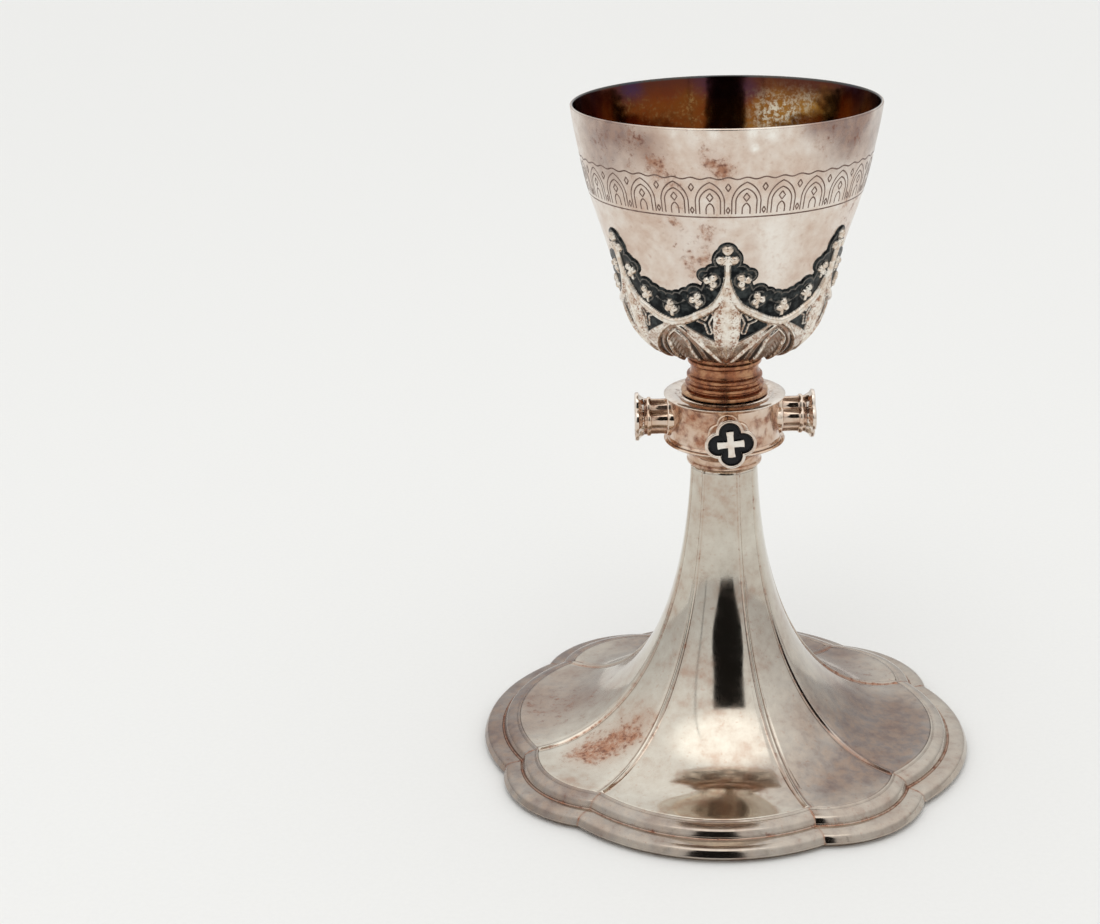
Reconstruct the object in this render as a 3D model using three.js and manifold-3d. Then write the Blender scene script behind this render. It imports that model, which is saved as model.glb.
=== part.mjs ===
// A communion chalice in the Gothic manner, in millimetres, +Z up.
// The origin is the centre of the foot, on the surface that the chalice stands on.
// Angles go round from the front (-Y) towards +X.
// The foot has eight lobes, wide and narrow by turns, with a wide one at the front.
// A tie rod through the middle pulls the bowl, neck, knop and foot together.

import * as THREE from "three";
import { mergeVertices } from "three/addons/utils/BufferGeometryUtils.js";
import Module from "manifold-3d";

const wasm = await Module();
wasm.setup();

// ---------------------------------------------------------------- driving dimensions

const GAP = 0.3; // air left between pieces that touch or fit into each other

// Bowl
const RIM_RADIUS = 45;
const BOWL_DEPTH = 74.4; // outside, from the lip to the underside
const BOWL_WALL = 1.0;

// Calyx round the bowl
const CALYX_WALL = 0.8;
const ARCH_COUNT = 6;
const FINIAL_HEIGHT = 40; // finial tips above the bowl's underside
const VALLEY_HEIGHT = 27; // calyx edge halfway between two finials
const FINIAL_WIDTH = 5; // width of the pointed tongue that carries a finial
const ARCH_TURN = 7; // degrees from the front to the nearest finial
const FINIAL_PLACE = 0.72; // share of the cup's outline at which the finials stand
const VALLEY_SHOULDER = 0.85; // share of a valley's height at which its sides turn upright
const VALLEY_ROUNDNESS = 0.8; // near 0 gives a pointed valley, near 1 a flat one

// Neck between the calyx and the knop
const NECK_HEIGHT = 10.4;
const NECK_RADIUS = 11.2;
const NECK_WAIST = 0.8; // depth of the hollow round the neck
const NECK_STEP_RADIUS = 13.1;
const NECK_STEP_HEIGHT = 1.6;

// Knop
const KNOP_RADIUS = 18.5;
const KNOP_PLATE = 0.65;
const KNOP_BEAD = 0.45; // radius of the rolled edge of each plate
const DRUM_RADIUS = 16.7;
const DRUM_WALL = 1.2;
const DRUM_BAND = 0.5; // metal left above and below each boss opening
const KNOP_TURN = 10; // degrees from the front to the nearest boss

// Bosses on the knop
const BOSS_COUNT = 4;
const BOSS_REACH = 27.2; // face of a boss from the axis
const TUBE_LOBE_RADIUS = 2.9;
const TUBE_LOBE_OFFSET = 2.7;
const TUBE_WALL = 0.8;
const BEZEL_LOBE_RADIUS = 4.1;
const BEZEL_LOBE_OFFSET = 3.5;
const BEZEL_LENGTH = 2.6;
const BEZEL_WALL = 0.8;
const ENAMEL_THICKNESS = 0.7;
const CROSS_SPAN = 8.0;
const CROSS_ARM_WIDTH = 1.7;
const CROSS_TIP_WIDTH = 2.4;
const CROSS_THICKNESS = 0.6;

// Collar between the knop and the foot
const COLLAR_HEIGHT = 6.6;
const COLLAR_TOP_RADIUS = 14;
const COLLAR_BOTTOM_RADIUS = 10.9;
const COLLAR_BEAD = 0.6; // how far the ring at its foot stands out

// Foot
const FOOT_HEIGHT = 95; // top of the stem above the ground
const STEM_TOP_RADIUS = 10.7;
const FOOT_SHEET = 1.4;
const CUSP_RADIUS = 74.2; // where two lobes of the outline meet
const WIDE_LOBE_RISE = 3.2; // how far the middle of a lobe stands out past its cusps
const NARROW_LOBE_RISE = 4.1;
const WIDE_HALF_ANGLE = 29.4; // degrees from the middle of a wide lobe to its cusps
const PANEL_FLATNESS = 0.4; // 0 keeps the stem round, 1 makes its panels flat
const TABLE_DISH = 1.2; // how far each panel sinks below its ridges on the table

// Foot rim and base flange
const RIM_WIDTH = 11.7; // from the outline in to the edge of the table
const RIM_TOP = 7.8; // edge of the table above the ground
const RIM_BULGE = 1.8; // how far the lower band stands out over the flange
const RIM_LEDGE = 2.5; // width of the ledge that the table rests on
const RIM_WALL = 1.3;
const FLANGE_THICKNESS = 1.0;
const FLANGE_WIDTH = 10;

// Tie rod and what it pulls on
const ROD_RADIUS = 3;
const ROD_CLEARANCE = 0.4;
const SOCKET_RADIUS = 7;
const SOCKET_LENGTH = 8.5;
const SOCKET_DEPTH = 7; // length of rod inside the socket
const SLEEVE_WALL = 1.6;
const STEM_PLATE_HEIGHT = 57; // top of the plate above the ground
const STEM_PLATE_THICKNESS = 2;
const WASHER_RADIUS = 6.5;
const WASHER_THICKNESS = 1.2;
const NUT_ACROSS_FLATS = 10;
const NUT_THICKNESS = 5;
const ROD_TAIL = 2; // rod showing below the nut

// ---------------------------------------------------------------- levels, from the ground up

const COLLAR_BOTTOM = FOOT_HEIGHT + GAP;
const KNOP_BOTTOM = COLLAR_BOTTOM + COLLAR_HEIGHT + GAP;
const PLATE_INSET = Math.max(KNOP_BEAD / 2 + KNOP_PLATE, 2 * KNOP_BEAD); // drum from a plate's face
const DRUM_HEIGHT = 2 * (TUBE_LOBE_OFFSET + TUBE_LOBE_RADIUS + GAP + DRUM_BAND);
const DRUM_BOTTOM = KNOP_BOTTOM + PLATE_INSET + GAP;
const DRUM_TOP = DRUM_BOTTOM + DRUM_HEIGHT;
const KNOP_TOP = DRUM_TOP + GAP + PLATE_INSET;
const KNOP_MIDDLE = (KNOP_BOTTOM + KNOP_TOP) / 2;
const NECK_BOTTOM = KNOP_TOP + GAP;
const NECK_TOP = NECK_BOTTOM + NECK_STEP_HEIGHT + NECK_HEIGHT;
const BOWL_BOTTOM = NECK_TOP + GAP + CALYX_WALL + GAP;
const ROD_BORE = ROD_RADIUS + ROD_CLEARANCE;
const LOBE_COUNT = 8;
const LOBE_STEP = 360 / LOBE_COUNT;
const SEGMENTS_PER_LOBE = 6;
const ROUND_STEPS = 10; // half the number of sides on a round bar or hole

// ---------------------------------------------------------------- helpers

const degrees = THREE.MathUtils.degToRad;
const point = (r, z) => new THREE.Vector2(r, z);

function merged(geometry) {
  const bare = geometry.clone();
  bare.deleteAttribute("normal");
  bare.deleteAttribute("uv");
  return mergeVertices(bare, 1e-4);
}

function solid(geometry) {
  const closed = merged(geometry);
  const mesh = new wasm.Mesh({
    numProp: 3,
    vertProperties: closed.attributes.position.array,
    triVerts: new Uint32Array(closed.index.array),
  });
  return new wasm.Manifold(mesh);
}

function geometryOf(manifold) {
  const mesh = manifold.getMesh();
  const geometry = new THREE.BufferGeometry();
  geometry.setAttribute("position", new THREE.BufferAttribute(mesh.vertProperties, 3));
  geometry.setIndex(new THREE.BufferAttribute(mesh.triVerts, 1));
  geometry.computeVertexNormals();
  return geometry;
}

// A body of revolution round +Z. A profile that doesn't start on the axis closes on itself.
function turned(profile, segments = 24) {
  const loop = profile[0].x === 0 ? profile : [...profile, profile[0]];
  const runsOutwards = THREE.ShapeUtils.area(profile) > 0;
  const ordered = runsOutwards ? loop : [...loop].reverse();
  return new THREE.LatheGeometry(ordered, segments).rotateX(Math.PI / 2);
}

// The same curve moved sideways by a distance: outwards where it runs up the outside.
function offsetCurve(curve, distance, steps) {
  const points = [];
  for (let i = 0; i <= steps; i += 1) {
    const at = curve.getPoint(i / steps);
    const along = curve.getTangent(i / steps);
    points.push(point(Math.max(at.x + along.y * distance, 0), at.y - along.x * distance));
  }
  return points;
}

// An outline drawn in the XY plane, raised along +Z from a height.
function raised(shape, height, from = 0, curveSegments = 3, steps = 1) {
  const options = { depth: height, bevelEnabled: false, curveSegments, steps };
  return new THREE.ExtrudeGeometry(shape, options).translate(0, 0, from);
}

// A quatrefoil: four round lobes that meet on the diagonals.
function quatrefoil(lobeRadius, lobeOffset, grow = 0) {
  const radius = lobeRadius + grow;
  const meet = (lobeOffset + Math.sqrt(2 * radius ** 2 - lobeOffset ** 2)) / 2;
  const half = Math.atan2(meet, meet - lobeOffset);
  const shape = new THREE.Shape();
  for (let lobe = 0; lobe < 4; lobe += 1) {
    const facing = (lobe * Math.PI) / 2;
    const x = lobeOffset * Math.cos(facing);
    const y = lobeOffset * Math.sin(facing);
    shape.absarc(x, y, radius, facing - half, facing + half, false);
  }
  shape.closePath();
  return shape;
}

function disc(radius) {
  return new THREE.Shape().absarc(0, 0, radius, 0, 2 * Math.PI, false);
}

function hole(shape, inner, curveSegments = 3) {
  shape.holes.push(new THREE.Path(inner.getPoints(curveSegments).reverse()));
  return shape;
}

const chalice = new THREE.Group();

function piece(name, geometry, finish, parent = chalice) {
  const mesh = new THREE.Mesh(geometry, new THREE.MeshStandardMaterial(finish));
  mesh.name = name;
  parent.add(mesh);
  return mesh;
}

// ---------------------------------------------------------------- finishes

const SILVER = { color: 0xcfcac6, roughness: 0.28, metalness: 1 };
const TARNISHED_SILVER = { color: 0xb9a294, roughness: 0.32, metalness: 1 };
const CHASED_SILVER = { color: 0x6c6a66, roughness: 0.4, metalness: 1 };
const BRIGHT_SILVER = { color: 0xe2e0dc, roughness: 0.2, metalness: 1 };
const ENAMEL = { color: 0x0b0c0e, roughness: 0.15, metalness: 0 };
const STEEL = { color: 0x8c8c8a, roughness: 0.45, metalness: 1 };

// ---------------------------------------------------------------- bowl and calyx

// Outside of the bowl from the middle of its underside up to the lip,
// as shares of the rim radius and of the depth.
const CUP_OUTLINE = [
  [0, 0],
  [0.245, 0.003],
  [0.455, 0.034],
  [0.59, 0.112],
  [0.66, 0.215],
  [0.715, 0.33],
  [0.79, 0.476],
  [0.896, 0.677],
  [0.967, 0.878],
  [1, 1],
];
const CUP_STEPS = 12;
const CUP_SEGMENTS = 32;
const cupCurve = new THREE.SplineCurve(
  CUP_OUTLINE.map(([r, z]) => point(r * RIM_RADIUS, BOWL_BOTTOM + z * BOWL_DEPTH)),
);

function bowl() {
  const outside = offsetCurve(cupCurve, 0, CUP_STEPS);
  const inside = offsetCurve(cupCurve, -BOWL_WALL, CUP_STEPS).reverse();
  inside[0].y = outside[outside.length - 1].y;
  inside[inside.length - 1].x = 0;
  return turned([...outside, ...inside], CUP_SEGMENTS);
}

// The calyx follows the bowl, with its upper edge cut into valleys between the finials.
function calyx() {
  const below = offsetCurve(cupCurve, GAP + CALYX_WALL, CUP_STEPS);
  const against = offsetCurve(cupCurve, GAP, CUP_STEPS);
  const top = BOWL_BOTTOM + FINIAL_HEIGHT;
  const bore = SOCKET_RADIUS + GAP;
  const covers = (p) => p.x > bore && p.y < top;
  const outside = [point(bore, below[0].y), ...below.filter(covers)];
  const inside = [...against.filter(covers).reverse(), point(bore, against[0].y)];
  let cup = solid(turned([...outside, ...inside], CUP_SEGMENTS));
  for (let i = 0; i < ARCH_COUNT; i += 1) {
    cup = cup.subtract(solid(valleyCutter(ARCH_TURN + ((i + 0.5) * 360) / ARCH_COUNT)));
  }
  return geometryOf(cup);
}

// A wedge that removes the calyx above one valley and between two finials.
function valleyCutter(azimuth) {
  const halfStep = Math.PI / ARCH_COUNT;
  const tipRadius = cupCurve.getPoint(FINIAL_PLACE).x;
  const halfWidth = tipRadius * Math.sin(halfStep) - FINIAL_WIDTH / 2;
  const valley = BOWL_BOTTOM + VALLEY_HEIGHT;
  const rise = FINIAL_HEIGHT - VALLEY_HEIGHT;
  const clear = valley + rise * 2; // well above the finials
  const shoulder = valley + rise * VALLEY_SHOULDER;
  const bend = halfWidth * VALLEY_ROUNDNESS;
  const shape = new THREE.Shape();
  shape.moveTo(-halfWidth, clear);
  shape.lineTo(-halfWidth, shoulder);
  shape.quadraticCurveTo(-bend, valley, 0, valley);
  shape.quadraticCurveTo(bend, valley, halfWidth, shoulder);
  shape.lineTo(halfWidth, clear);
  shape.closePath();
  const start = RIM_RADIUS / 3; // between the axis and the calyx wall
  return raised(shape, RIM_RADIUS, start).rotateX(Math.PI / 2).rotateZ(degrees(azimuth));
}

// Threaded boss soldered under the bowl: the tie rod screws into it from below.
function bowlSocket() {
  const top = BOWL_BOTTOM - GAP;
  const bottom = top - SOCKET_LENGTH;
  const blind = bottom + SOCKET_DEPTH + GAP;
  const profile = [
    point(0, blind),
    point(ROD_BORE, blind),
    point(ROD_BORE, bottom),
    point(SOCKET_RADIUS, bottom),
    point(SOCKET_RADIUS, top),
    point(0, top),
  ];
  return turned(profile);
}

// ---------------------------------------------------------------- neck, knop and lower collar

function neckCollar() {
  const bore = SOCKET_RADIUS + GAP;
  const waist = NECK_RADIUS - NECK_WAIST;
  const step = NECK_BOTTOM + NECK_STEP_HEIGHT;
  const at = (share) => step + share * NECK_HEIGHT;
  const profile = [
    point(bore, NECK_BOTTOM),
    point(NECK_STEP_RADIUS, NECK_BOTTOM),
    point(NECK_STEP_RADIUS, step),
    point(NECK_RADIUS, at(0.04)),
    point(NECK_RADIUS + NECK_WAIST, at(0.14)),
    point(waist, at(0.26)),
    point(NECK_RADIUS, at(0.36)),
    point(waist, at(0.5)),
    point(waist, at(0.72)),
    point(NECK_RADIUS, at(0.85)),
    point(NECK_RADIUS - NECK_WAIST / 2, at(1)),
    point(bore, at(1)),
  ];
  return turned(profile);
}

// A knop plate with a rolled edge. side is 1 for the top plate and -1 for the bottom one.
function knopPlate(side) {
  const outer = side > 0 ? KNOP_TOP : KNOP_BOTTOM;
  const edge = KNOP_RADIUS - KNOP_BEAD;
  const bead = outer - side * KNOP_BEAD;
  const profile = [
    point(ROD_BORE, outer - side * KNOP_BEAD / 2),
    point(edge - KNOP_BEAD, outer - side * KNOP_BEAD / 2),
    point(edge, outer),
  ];
  for (let turn = 45; turn <= 180; turn += 45) {
    const angle = degrees(90 - turn);
    profile.push(point(edge + KNOP_BEAD * Math.cos(angle), bead + side * KNOP_BEAD * Math.sin(angle)));
  }
  profile.push(point(edge - KNOP_BEAD, outer - side * (KNOP_BEAD / 2 + KNOP_PLATE)));
  profile.push(point(ROD_BORE, outer - side * (KNOP_BEAD / 2 + KNOP_PLATE)));
  return turned(profile);
}

function knopDrum() {
  const inner = DRUM_RADIUS - DRUM_WALL;
  const profile = [
    point(inner, DRUM_BOTTOM),
    point(DRUM_RADIUS, DRUM_BOTTOM),
    point(DRUM_RADIUS, DRUM_TOP),
    point(inner, DRUM_TOP),
  ];
  let drum = solid(turned(profile, CUP_SEGMENTS));
  for (let i = 0; i < BOSS_COUNT; i += 1) {
    const opening = raised(quatrefoil(TUBE_LOBE_RADIUS, TUBE_LOBE_OFFSET, GAP), DRUM_RADIUS);
    opening.translate(0, 0, DRUM_RADIUS / 2).rotateX(Math.PI / 2);
    opening.rotateZ(degrees(KNOP_TURN + (i * 360) / BOSS_COUNT)).translate(0, 0, KNOP_MIDDLE);
    drum = drum.subtract(solid(opening));
  }
  return geometryOf(drum);
}

function knopSleeve() {
  const bottom = KNOP_BOTTOM + PLATE_INSET + GAP;
  const top = KNOP_TOP - PLATE_INSET - GAP;
  const outer = ROD_BORE + SLEEVE_WALL;
  return turned([point(ROD_BORE, bottom), point(outer, bottom), point(outer, top), point(ROD_BORE, top)]);
}

function lowerCollar() {
  const at = (share) => COLLAR_BOTTOM + share * COLLAR_HEIGHT;
  const ring = COLLAR_BOTTOM_RADIUS + COLLAR_BEAD;
  const profile = [
    point(ROD_BORE, at(0)),
    point(COLLAR_BOTTOM_RADIUS, at(0)),
    point(ring, at(0.08)),
    point(ring, at(0.2)),
    point(COLLAR_BOTTOM_RADIUS, at(0.28)),
    point(COLLAR_BOTTOM_RADIUS, at(0.5)),
    point(COLLAR_TOP_RADIUS, at(0.86)),
    point(COLLAR_TOP_RADIUS, at(1)),
    point(ROD_BORE, at(1)),
  ];
  return turned(profile);
}

// ---------------------------------------------------------------- bosses

function bossTube(front) {
  const back = Math.sqrt((DRUM_RADIUS - DRUM_WALL) ** 2 - (TUBE_LOBE_OFFSET + TUBE_LOBE_RADIUS) ** 2);
  const outline = quatrefoil(TUBE_LOBE_RADIUS, TUBE_LOBE_OFFSET);
  const bored = hole(outline, quatrefoil(TUBE_LOBE_RADIUS, TUBE_LOBE_OFFSET, -TUBE_WALL));
  return raised(bored, front - back, back);
}

// The bezel flares from the tube's outline to its own, and has a recess for the enamel.
function bossBezel(back, recess) {
  const narrow = (TUBE_LOBE_RADIUS + TUBE_LOBE_OFFSET) / (BEZEL_LOBE_RADIUS + BEZEL_LOBE_OFFSET);
  const block = raised(quatrefoil(BEZEL_LOBE_RADIUS, BEZEL_LOBE_OFFSET), BEZEL_LENGTH, back, 3, 3);
  const places = block.attributes.position;
  for (let i = 0; i < places.count; i += 1) {
    if (places.getZ(i) < back + GAP) {
      places.setX(i, places.getX(i) * narrow);
      places.setY(i, places.getY(i) * narrow);
    }
  }
  const inside = quatrefoil(BEZEL_LOBE_RADIUS, BEZEL_LOBE_OFFSET, -BEZEL_WALL);
  return geometryOf(solid(block).subtract(solid(raised(inside, BEZEL_LENGTH, recess))));
}

function crossShape() {
  const reach = CROSS_SPAN / 2;
  const waist = CROSS_ARM_WIDTH / 2;
  const tip = CROSS_TIP_WIDTH / 2;
  const corners = [];
  for (let arm = 0; arm < 4; arm += 1) {
    const turn = (arm * Math.PI) / 2;
    for (const [x, y] of [[waist, -waist], [reach, -tip], [reach, tip]]) {
      const corner = point(x, y).rotateAround(point(0, 0), turn);
      corners.push(corner);
    }
  }
  return new THREE.Shape(corners);
}

function addBosses() {
  const names = ["front", "right", "back", "left"];
  const crossBack = BOSS_REACH - CROSS_THICKNESS;
  const enamelBack = crossBack - GAP - ENAMEL_THICKNESS;
  const recess = enamelBack - GAP;
  const bezelBack = BOSS_REACH - BEZEL_LENGTH;
  const field = quatrefoil(BEZEL_LOBE_RADIUS, BEZEL_LOBE_OFFSET, -BEZEL_WALL - GAP);
  names.forEach((side, i) => {
    const boss = new THREE.Group();
    boss.position.set(0, 0, KNOP_MIDDLE);
    boss.rotation.set(Math.PI / 2, 0, degrees(KNOP_TURN + (i * 360) / BOSS_COUNT), "ZYX");
    chalice.add(boss);
    piece(`boss_tube_${side}`, bossTube(bezelBack - GAP), TARNISHED_SILVER, boss);
    piece(`boss_bezel_${side}`, bossBezel(bezelBack, recess), BRIGHT_SILVER, boss);
    piece(`boss_enamel_${side}`, raised(field, ENAMEL_THICKNESS, enamelBack), ENAMEL, boss);
    piece(`boss_cross_${side}`, raised(crossShape(), CROSS_THICKNESS, crossBack), BRIGHT_SILVER, boss);
  });
}

// ---------------------------------------------------------------- foot

// Distance from the axis to a lobe's edge. across goes from -1 to 1 between its two cusps.
function lobeReach(wide, across) {
  const half = degrees(wide ? WIDE_HALF_ANGLE : LOBE_STEP - WIDE_HALF_ANGLE);
  const tip = CUSP_RADIUS + (wide ? WIDE_LOBE_RISE : NARROW_LOBE_RISE);
  const centre = (tip ** 2 - CUSP_RADIUS ** 2) / (2 * (tip - CUSP_RADIUS * Math.cos(half)));
  const radius = tip - centre;
  const angle = across * half;
  return centre * Math.cos(angle) + Math.sqrt(radius ** 2 - (centre * Math.sin(angle)) ** 2);
}

const TABLE_EDGE = CUSP_RADIUS - RIM_WIDTH;
const SPREAD_START = 0.58 * TABLE_EDGE; // inside this radius the section has panels but no lobes

// Turns a round body into a lobed one: its profile is kept along the cusps.
function lobed(round) {
  const geometry = merged(round);
  const places = geometry.attributes.position;
  for (let i = 0; i < places.count; i += 1) {
    const x = places.getX(i);
    const y = places.getY(i);
    const r = Math.hypot(x, y);
    const turn = THREE.MathUtils.radToDeg(Math.atan2(x, -y));
    const lobe = Math.round(turn / LOBE_STEP);
    const wide = lobe % 2 === 0;
    const across = (turn - lobe * LOBE_STEP) / (LOBE_STEP / 2);
    const half = wide ? WIDE_HALF_ANGLE : LOBE_STEP - WIDE_HALF_ANGLE;
    const spread = THREE.MathUtils.smoothstep(r, SPREAD_START, TABLE_EDGE);
    const within = 1 - across ** 2;
    const flat = ((r * degrees(half) ** 2) / 2) * PANEL_FLATNESS * within * (1 - spread);
    const reach = r + spread * (lobeReach(wide, across) - CUSP_RADIUS) - flat;
    const azimuth = degrees(lobe * LOBE_STEP + across * half);
    const sink = TABLE_DISH * 4 * spread * (1 - spread) * within;
    places.setXYZ(i, reach * Math.sin(azimuth), -reach * Math.cos(azimuth), places.getZ(i) - sink);
  }
  return geometry;
}

const FOOT_SEGMENTS = LOBE_COUNT * SEGMENTS_PER_LOBE;
const FOOT_STEPS = 10;

// Ridge line of the foot from the edge of the table up to the top of the stem.
const footRise = FOOT_HEIGHT - RIM_TOP;
const footSpread = TABLE_EDGE - STEM_TOP_RADIUS;
const footCurve = new THREE.CubicBezierCurve(
  point(TABLE_EDGE, RIM_TOP),
  point(STEM_TOP_RADIUS + 0.552 * footSpread, RIM_TOP + 0.004 * footRise),
  point(STEM_TOP_RADIUS + 0.052 * footSpread, RIM_TOP + 0.242 * footRise),
  point(STEM_TOP_RADIUS, FOOT_HEIGHT),
);

function foot() {
  const outside = offsetCurve(footCurve, 0, FOOT_STEPS);
  const inside = offsetCurve(footCurve, -FOOT_SHEET, FOOT_STEPS).reverse();
  inside[0].y = FOOT_HEIGHT;
  inside[inside.length - 1].x = TABLE_EDGE;
  return lobed(turned([...outside, ...inside], FOOT_SEGMENTS));
}

// Radius of the largest round plate that fits inside the stem at a height.
function stemBore(height) {
  const inside = offsetCurve(footCurve, -FOOT_SHEET, 200);
  const ridge = inside.find((p) => p.y >= height).x;
  return ridge * (1 - (degrees(WIDE_HALF_ANGLE) ** 2 / 2) * PANEL_FLATNESS);
}

// Stepped moulding: a convex lower band, a groove, a convex upper band and a small fillet.
function footRim() {
  const bottom = FLANGE_THICKNESS + GAP;
  const rise = RIM_TOP - bottom;
  const out = (inset) => CUSP_RADIUS - inset * RIM_WIDTH;
  const up = (share) => bottom + share * rise;
  const seat = RIM_TOP - FOOT_SHEET - GAP;
  const ledge = TABLE_EDGE - RIM_LEDGE;
  const profile = [
    point(out(0) - RIM_BULGE, up(0)),
    point(out(0), up(0.06)),
    point(out(0), up(0.17)),
    point(out(0.09), up(0.35)),
    point(out(0.24), up(0.49)),
    point(out(0.53), up(0.51)),
    point(out(0.55), up(0.58)),
    point(out(0.57), up(0.74)),
    point(out(0.7), up(0.92)),
    point(out(0.87), up(1)),
    point(TABLE_EDGE + GAP, up(1)),
    point(TABLE_EDGE + GAP, seat),
    point(ledge, seat),
    point(ledge, seat - RIM_WALL),
    point(out(0.75), seat - RIM_WALL),
    point(out(0.6), up(0)),
  ];
  return lobed(turned(profile, FOOT_SEGMENTS));
}

function baseFlange() {
  const outer = CUSP_RADIUS - RIM_BULGE;
  const inner = outer - FLANGE_WIDTH;
  const profile = [
    point(inner, 0),
    point(outer, 0),
    point(outer, FLANGE_THICKNESS),
    point(inner, FLANGE_THICKNESS),
  ];
  return lobed(turned(profile, FOOT_SEGMENTS));
}

// ---------------------------------------------------------------- tie rod and fastenings

const PLATE_BOTTOM = STEM_PLATE_HEIGHT - STEM_PLATE_THICKNESS;
const WASHER_BOTTOM = PLATE_BOTTOM - GAP - WASHER_THICKNESS;
const NUT_BOTTOM = WASHER_BOTTOM - GAP - NUT_THICKNESS;
const ROD_BOTTOM = NUT_BOTTOM - ROD_TAIL;
const ROD_TOP = BOWL_BOTTOM - GAP - SOCKET_LENGTH + SOCKET_DEPTH;

function tieRod() {
  return raised(disc(ROD_RADIUS), ROD_TOP - ROD_BOTTOM, ROD_BOTTOM, ROUND_STEPS);
}

function stemPlate() {
  const radius = stemBore(STEM_PLATE_HEIGHT) - GAP;
  const plate = hole(disc(radius), disc(ROD_BORE), ROUND_STEPS);
  return raised(plate, STEM_PLATE_THICKNESS, PLATE_BOTTOM, ROUND_STEPS);
}

function washer() {
  const ring = hole(disc(WASHER_RADIUS), disc(ROD_BORE), ROUND_STEPS);
  return raised(ring, WASHER_THICKNESS, WASHER_BOTTOM, ROUND_STEPS);
}

function tieNut() {
  const corner = NUT_ACROSS_FLATS / Math.sqrt(3);
  const hexagon = new THREE.Shape();
  for (let i = 0; i < 6; i += 1) {
    const angle = (i * Math.PI) / 3;
    const draw = i === 0 ? "moveTo" : "lineTo";
    hexagon[draw](corner * Math.cos(angle), corner * Math.sin(angle));
  }
  hexagon.closePath();
  return raised(hole(hexagon, disc(ROD_BORE), ROUND_STEPS), NUT_THICKNESS, NUT_BOTTOM);
}

// ---------------------------------------------------------------- the chalice

piece("bowl", bowl(), TARNISHED_SILVER);
piece("calyx", calyx(), CHASED_SILVER);
piece("bowl_socket", bowlSocket(), SILVER);
piece("neck_collar", neckCollar(), TARNISHED_SILVER);
piece("knop_top_plate", knopPlate(1), TARNISHED_SILVER);
piece("knop_drum", knopDrum(), TARNISHED_SILVER);
piece("knop_bottom_plate", knopPlate(-1), TARNISHED_SILVER);
piece("knop_sleeve", knopSleeve(), STEEL);
addBosses();
piece("lower_collar", lowerCollar(), TARNISHED_SILVER);
piece("foot", foot(), SILVER);
piece("foot_rim", footRim(), SILVER);
piece("base_flange", baseFlange(), SILVER);
piece("stem_plate", stemPlate(), STEEL);
piece("tie_rod", tieRod(), STEEL);
piece("washer", washer(), STEEL);
piece("tie_nut", tieNut(), STEEL);

export default chalice;
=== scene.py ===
# %% [markdown]
# # A communion chalice
# The chalice is a silver cup on a tall foot: bowl, chased calyx, neck, knop with four
# bosses, and an eight-lobed foot. Its sizes come from a CAD model that is loaded first and is
# never moved. What this script adds is the surface: the relief, the turned edges and the
# tarnish. Each cell makes one thing and prints what it made.

# %% Load the frame
from math import cos, pi, radians, sin, sqrt
import bmesh
import bpy
import numpy as np
from mathutils import Matrix, Vector


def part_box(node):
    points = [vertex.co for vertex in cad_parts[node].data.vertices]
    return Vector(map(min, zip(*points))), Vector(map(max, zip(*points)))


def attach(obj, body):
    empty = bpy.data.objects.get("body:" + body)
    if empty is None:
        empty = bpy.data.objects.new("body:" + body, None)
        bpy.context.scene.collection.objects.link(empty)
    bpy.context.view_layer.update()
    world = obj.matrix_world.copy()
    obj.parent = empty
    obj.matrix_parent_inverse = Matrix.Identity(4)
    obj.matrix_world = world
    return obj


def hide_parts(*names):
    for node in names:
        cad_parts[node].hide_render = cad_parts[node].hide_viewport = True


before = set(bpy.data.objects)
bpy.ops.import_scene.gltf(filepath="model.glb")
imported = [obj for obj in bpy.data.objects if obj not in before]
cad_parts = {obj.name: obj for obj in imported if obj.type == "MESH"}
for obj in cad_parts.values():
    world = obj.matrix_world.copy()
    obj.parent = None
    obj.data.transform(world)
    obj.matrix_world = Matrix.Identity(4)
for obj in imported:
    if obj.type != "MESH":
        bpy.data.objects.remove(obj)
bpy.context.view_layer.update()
MM = 0.001


def lowest(node):
    """The lowest corner of a CAD node, in millimetres."""
    return np.array(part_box(node)[0]) / MM


def highest(node):
    """The highest corner of a CAD node, in millimetres."""
    return np.array(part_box(node)[1]) / MM


# %% [markdown]
# ## Camera
# A picture of a small thing on a table is taken from a little above it, with a long lens so
# that the cup's mouth stays a slim ellipse. A rotation matrix built from the three directions
# of the camera is easier to check by hand than three Euler angles.

# %% Camera
CAMERA_PLACE = Vector((0.0569, -0.5559, 0.3014))
CAMERA_HEADING = radians(-11.33)  # from +Y towards +X
CAMERA_DIP = radians(20.26)
CAMERA_ROLL = radians(-1.63)
CAMERA_LENS = 63.26
CAMERA_SENSOR = 36
CAMERA_NEAR = 0.05


def placed(name, data):
    """A new object in the scene that shows this data."""
    made = bpy.data.objects.new(name, data)
    bpy.context.scene.collection.objects.link(made)
    return made


def aimed(heading, dip, roll):
    """The rotation of a camera that looks along a heading, dipped below the horizon."""
    forward = Vector((sin(heading) * cos(dip), cos(heading) * cos(dip), -sin(dip)))
    right = Vector((cos(heading), -sin(heading), 0))
    up = right.cross(forward)
    across = cos(roll) * right + sin(roll) * up
    upward = cos(roll) * up - sin(roll) * right
    return Matrix((across, upward, -forward)).transposed().to_4x4()


camera = placed("camera", bpy.data.cameras.new("camera"))
bpy.context.scene.camera = camera
camera.data.lens = CAMERA_LENS
camera.data.sensor_width = CAMERA_SENSOR
camera.data.clip_start = CAMERA_NEAR
camera.matrix_world = Matrix.Translation(CAMERA_PLACE) @ aimed(CAMERA_HEADING, CAMERA_DIP, CAMERA_ROLL)
print("camera distance, mm:", round(CAMERA_PLACE.length / MM))

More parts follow.
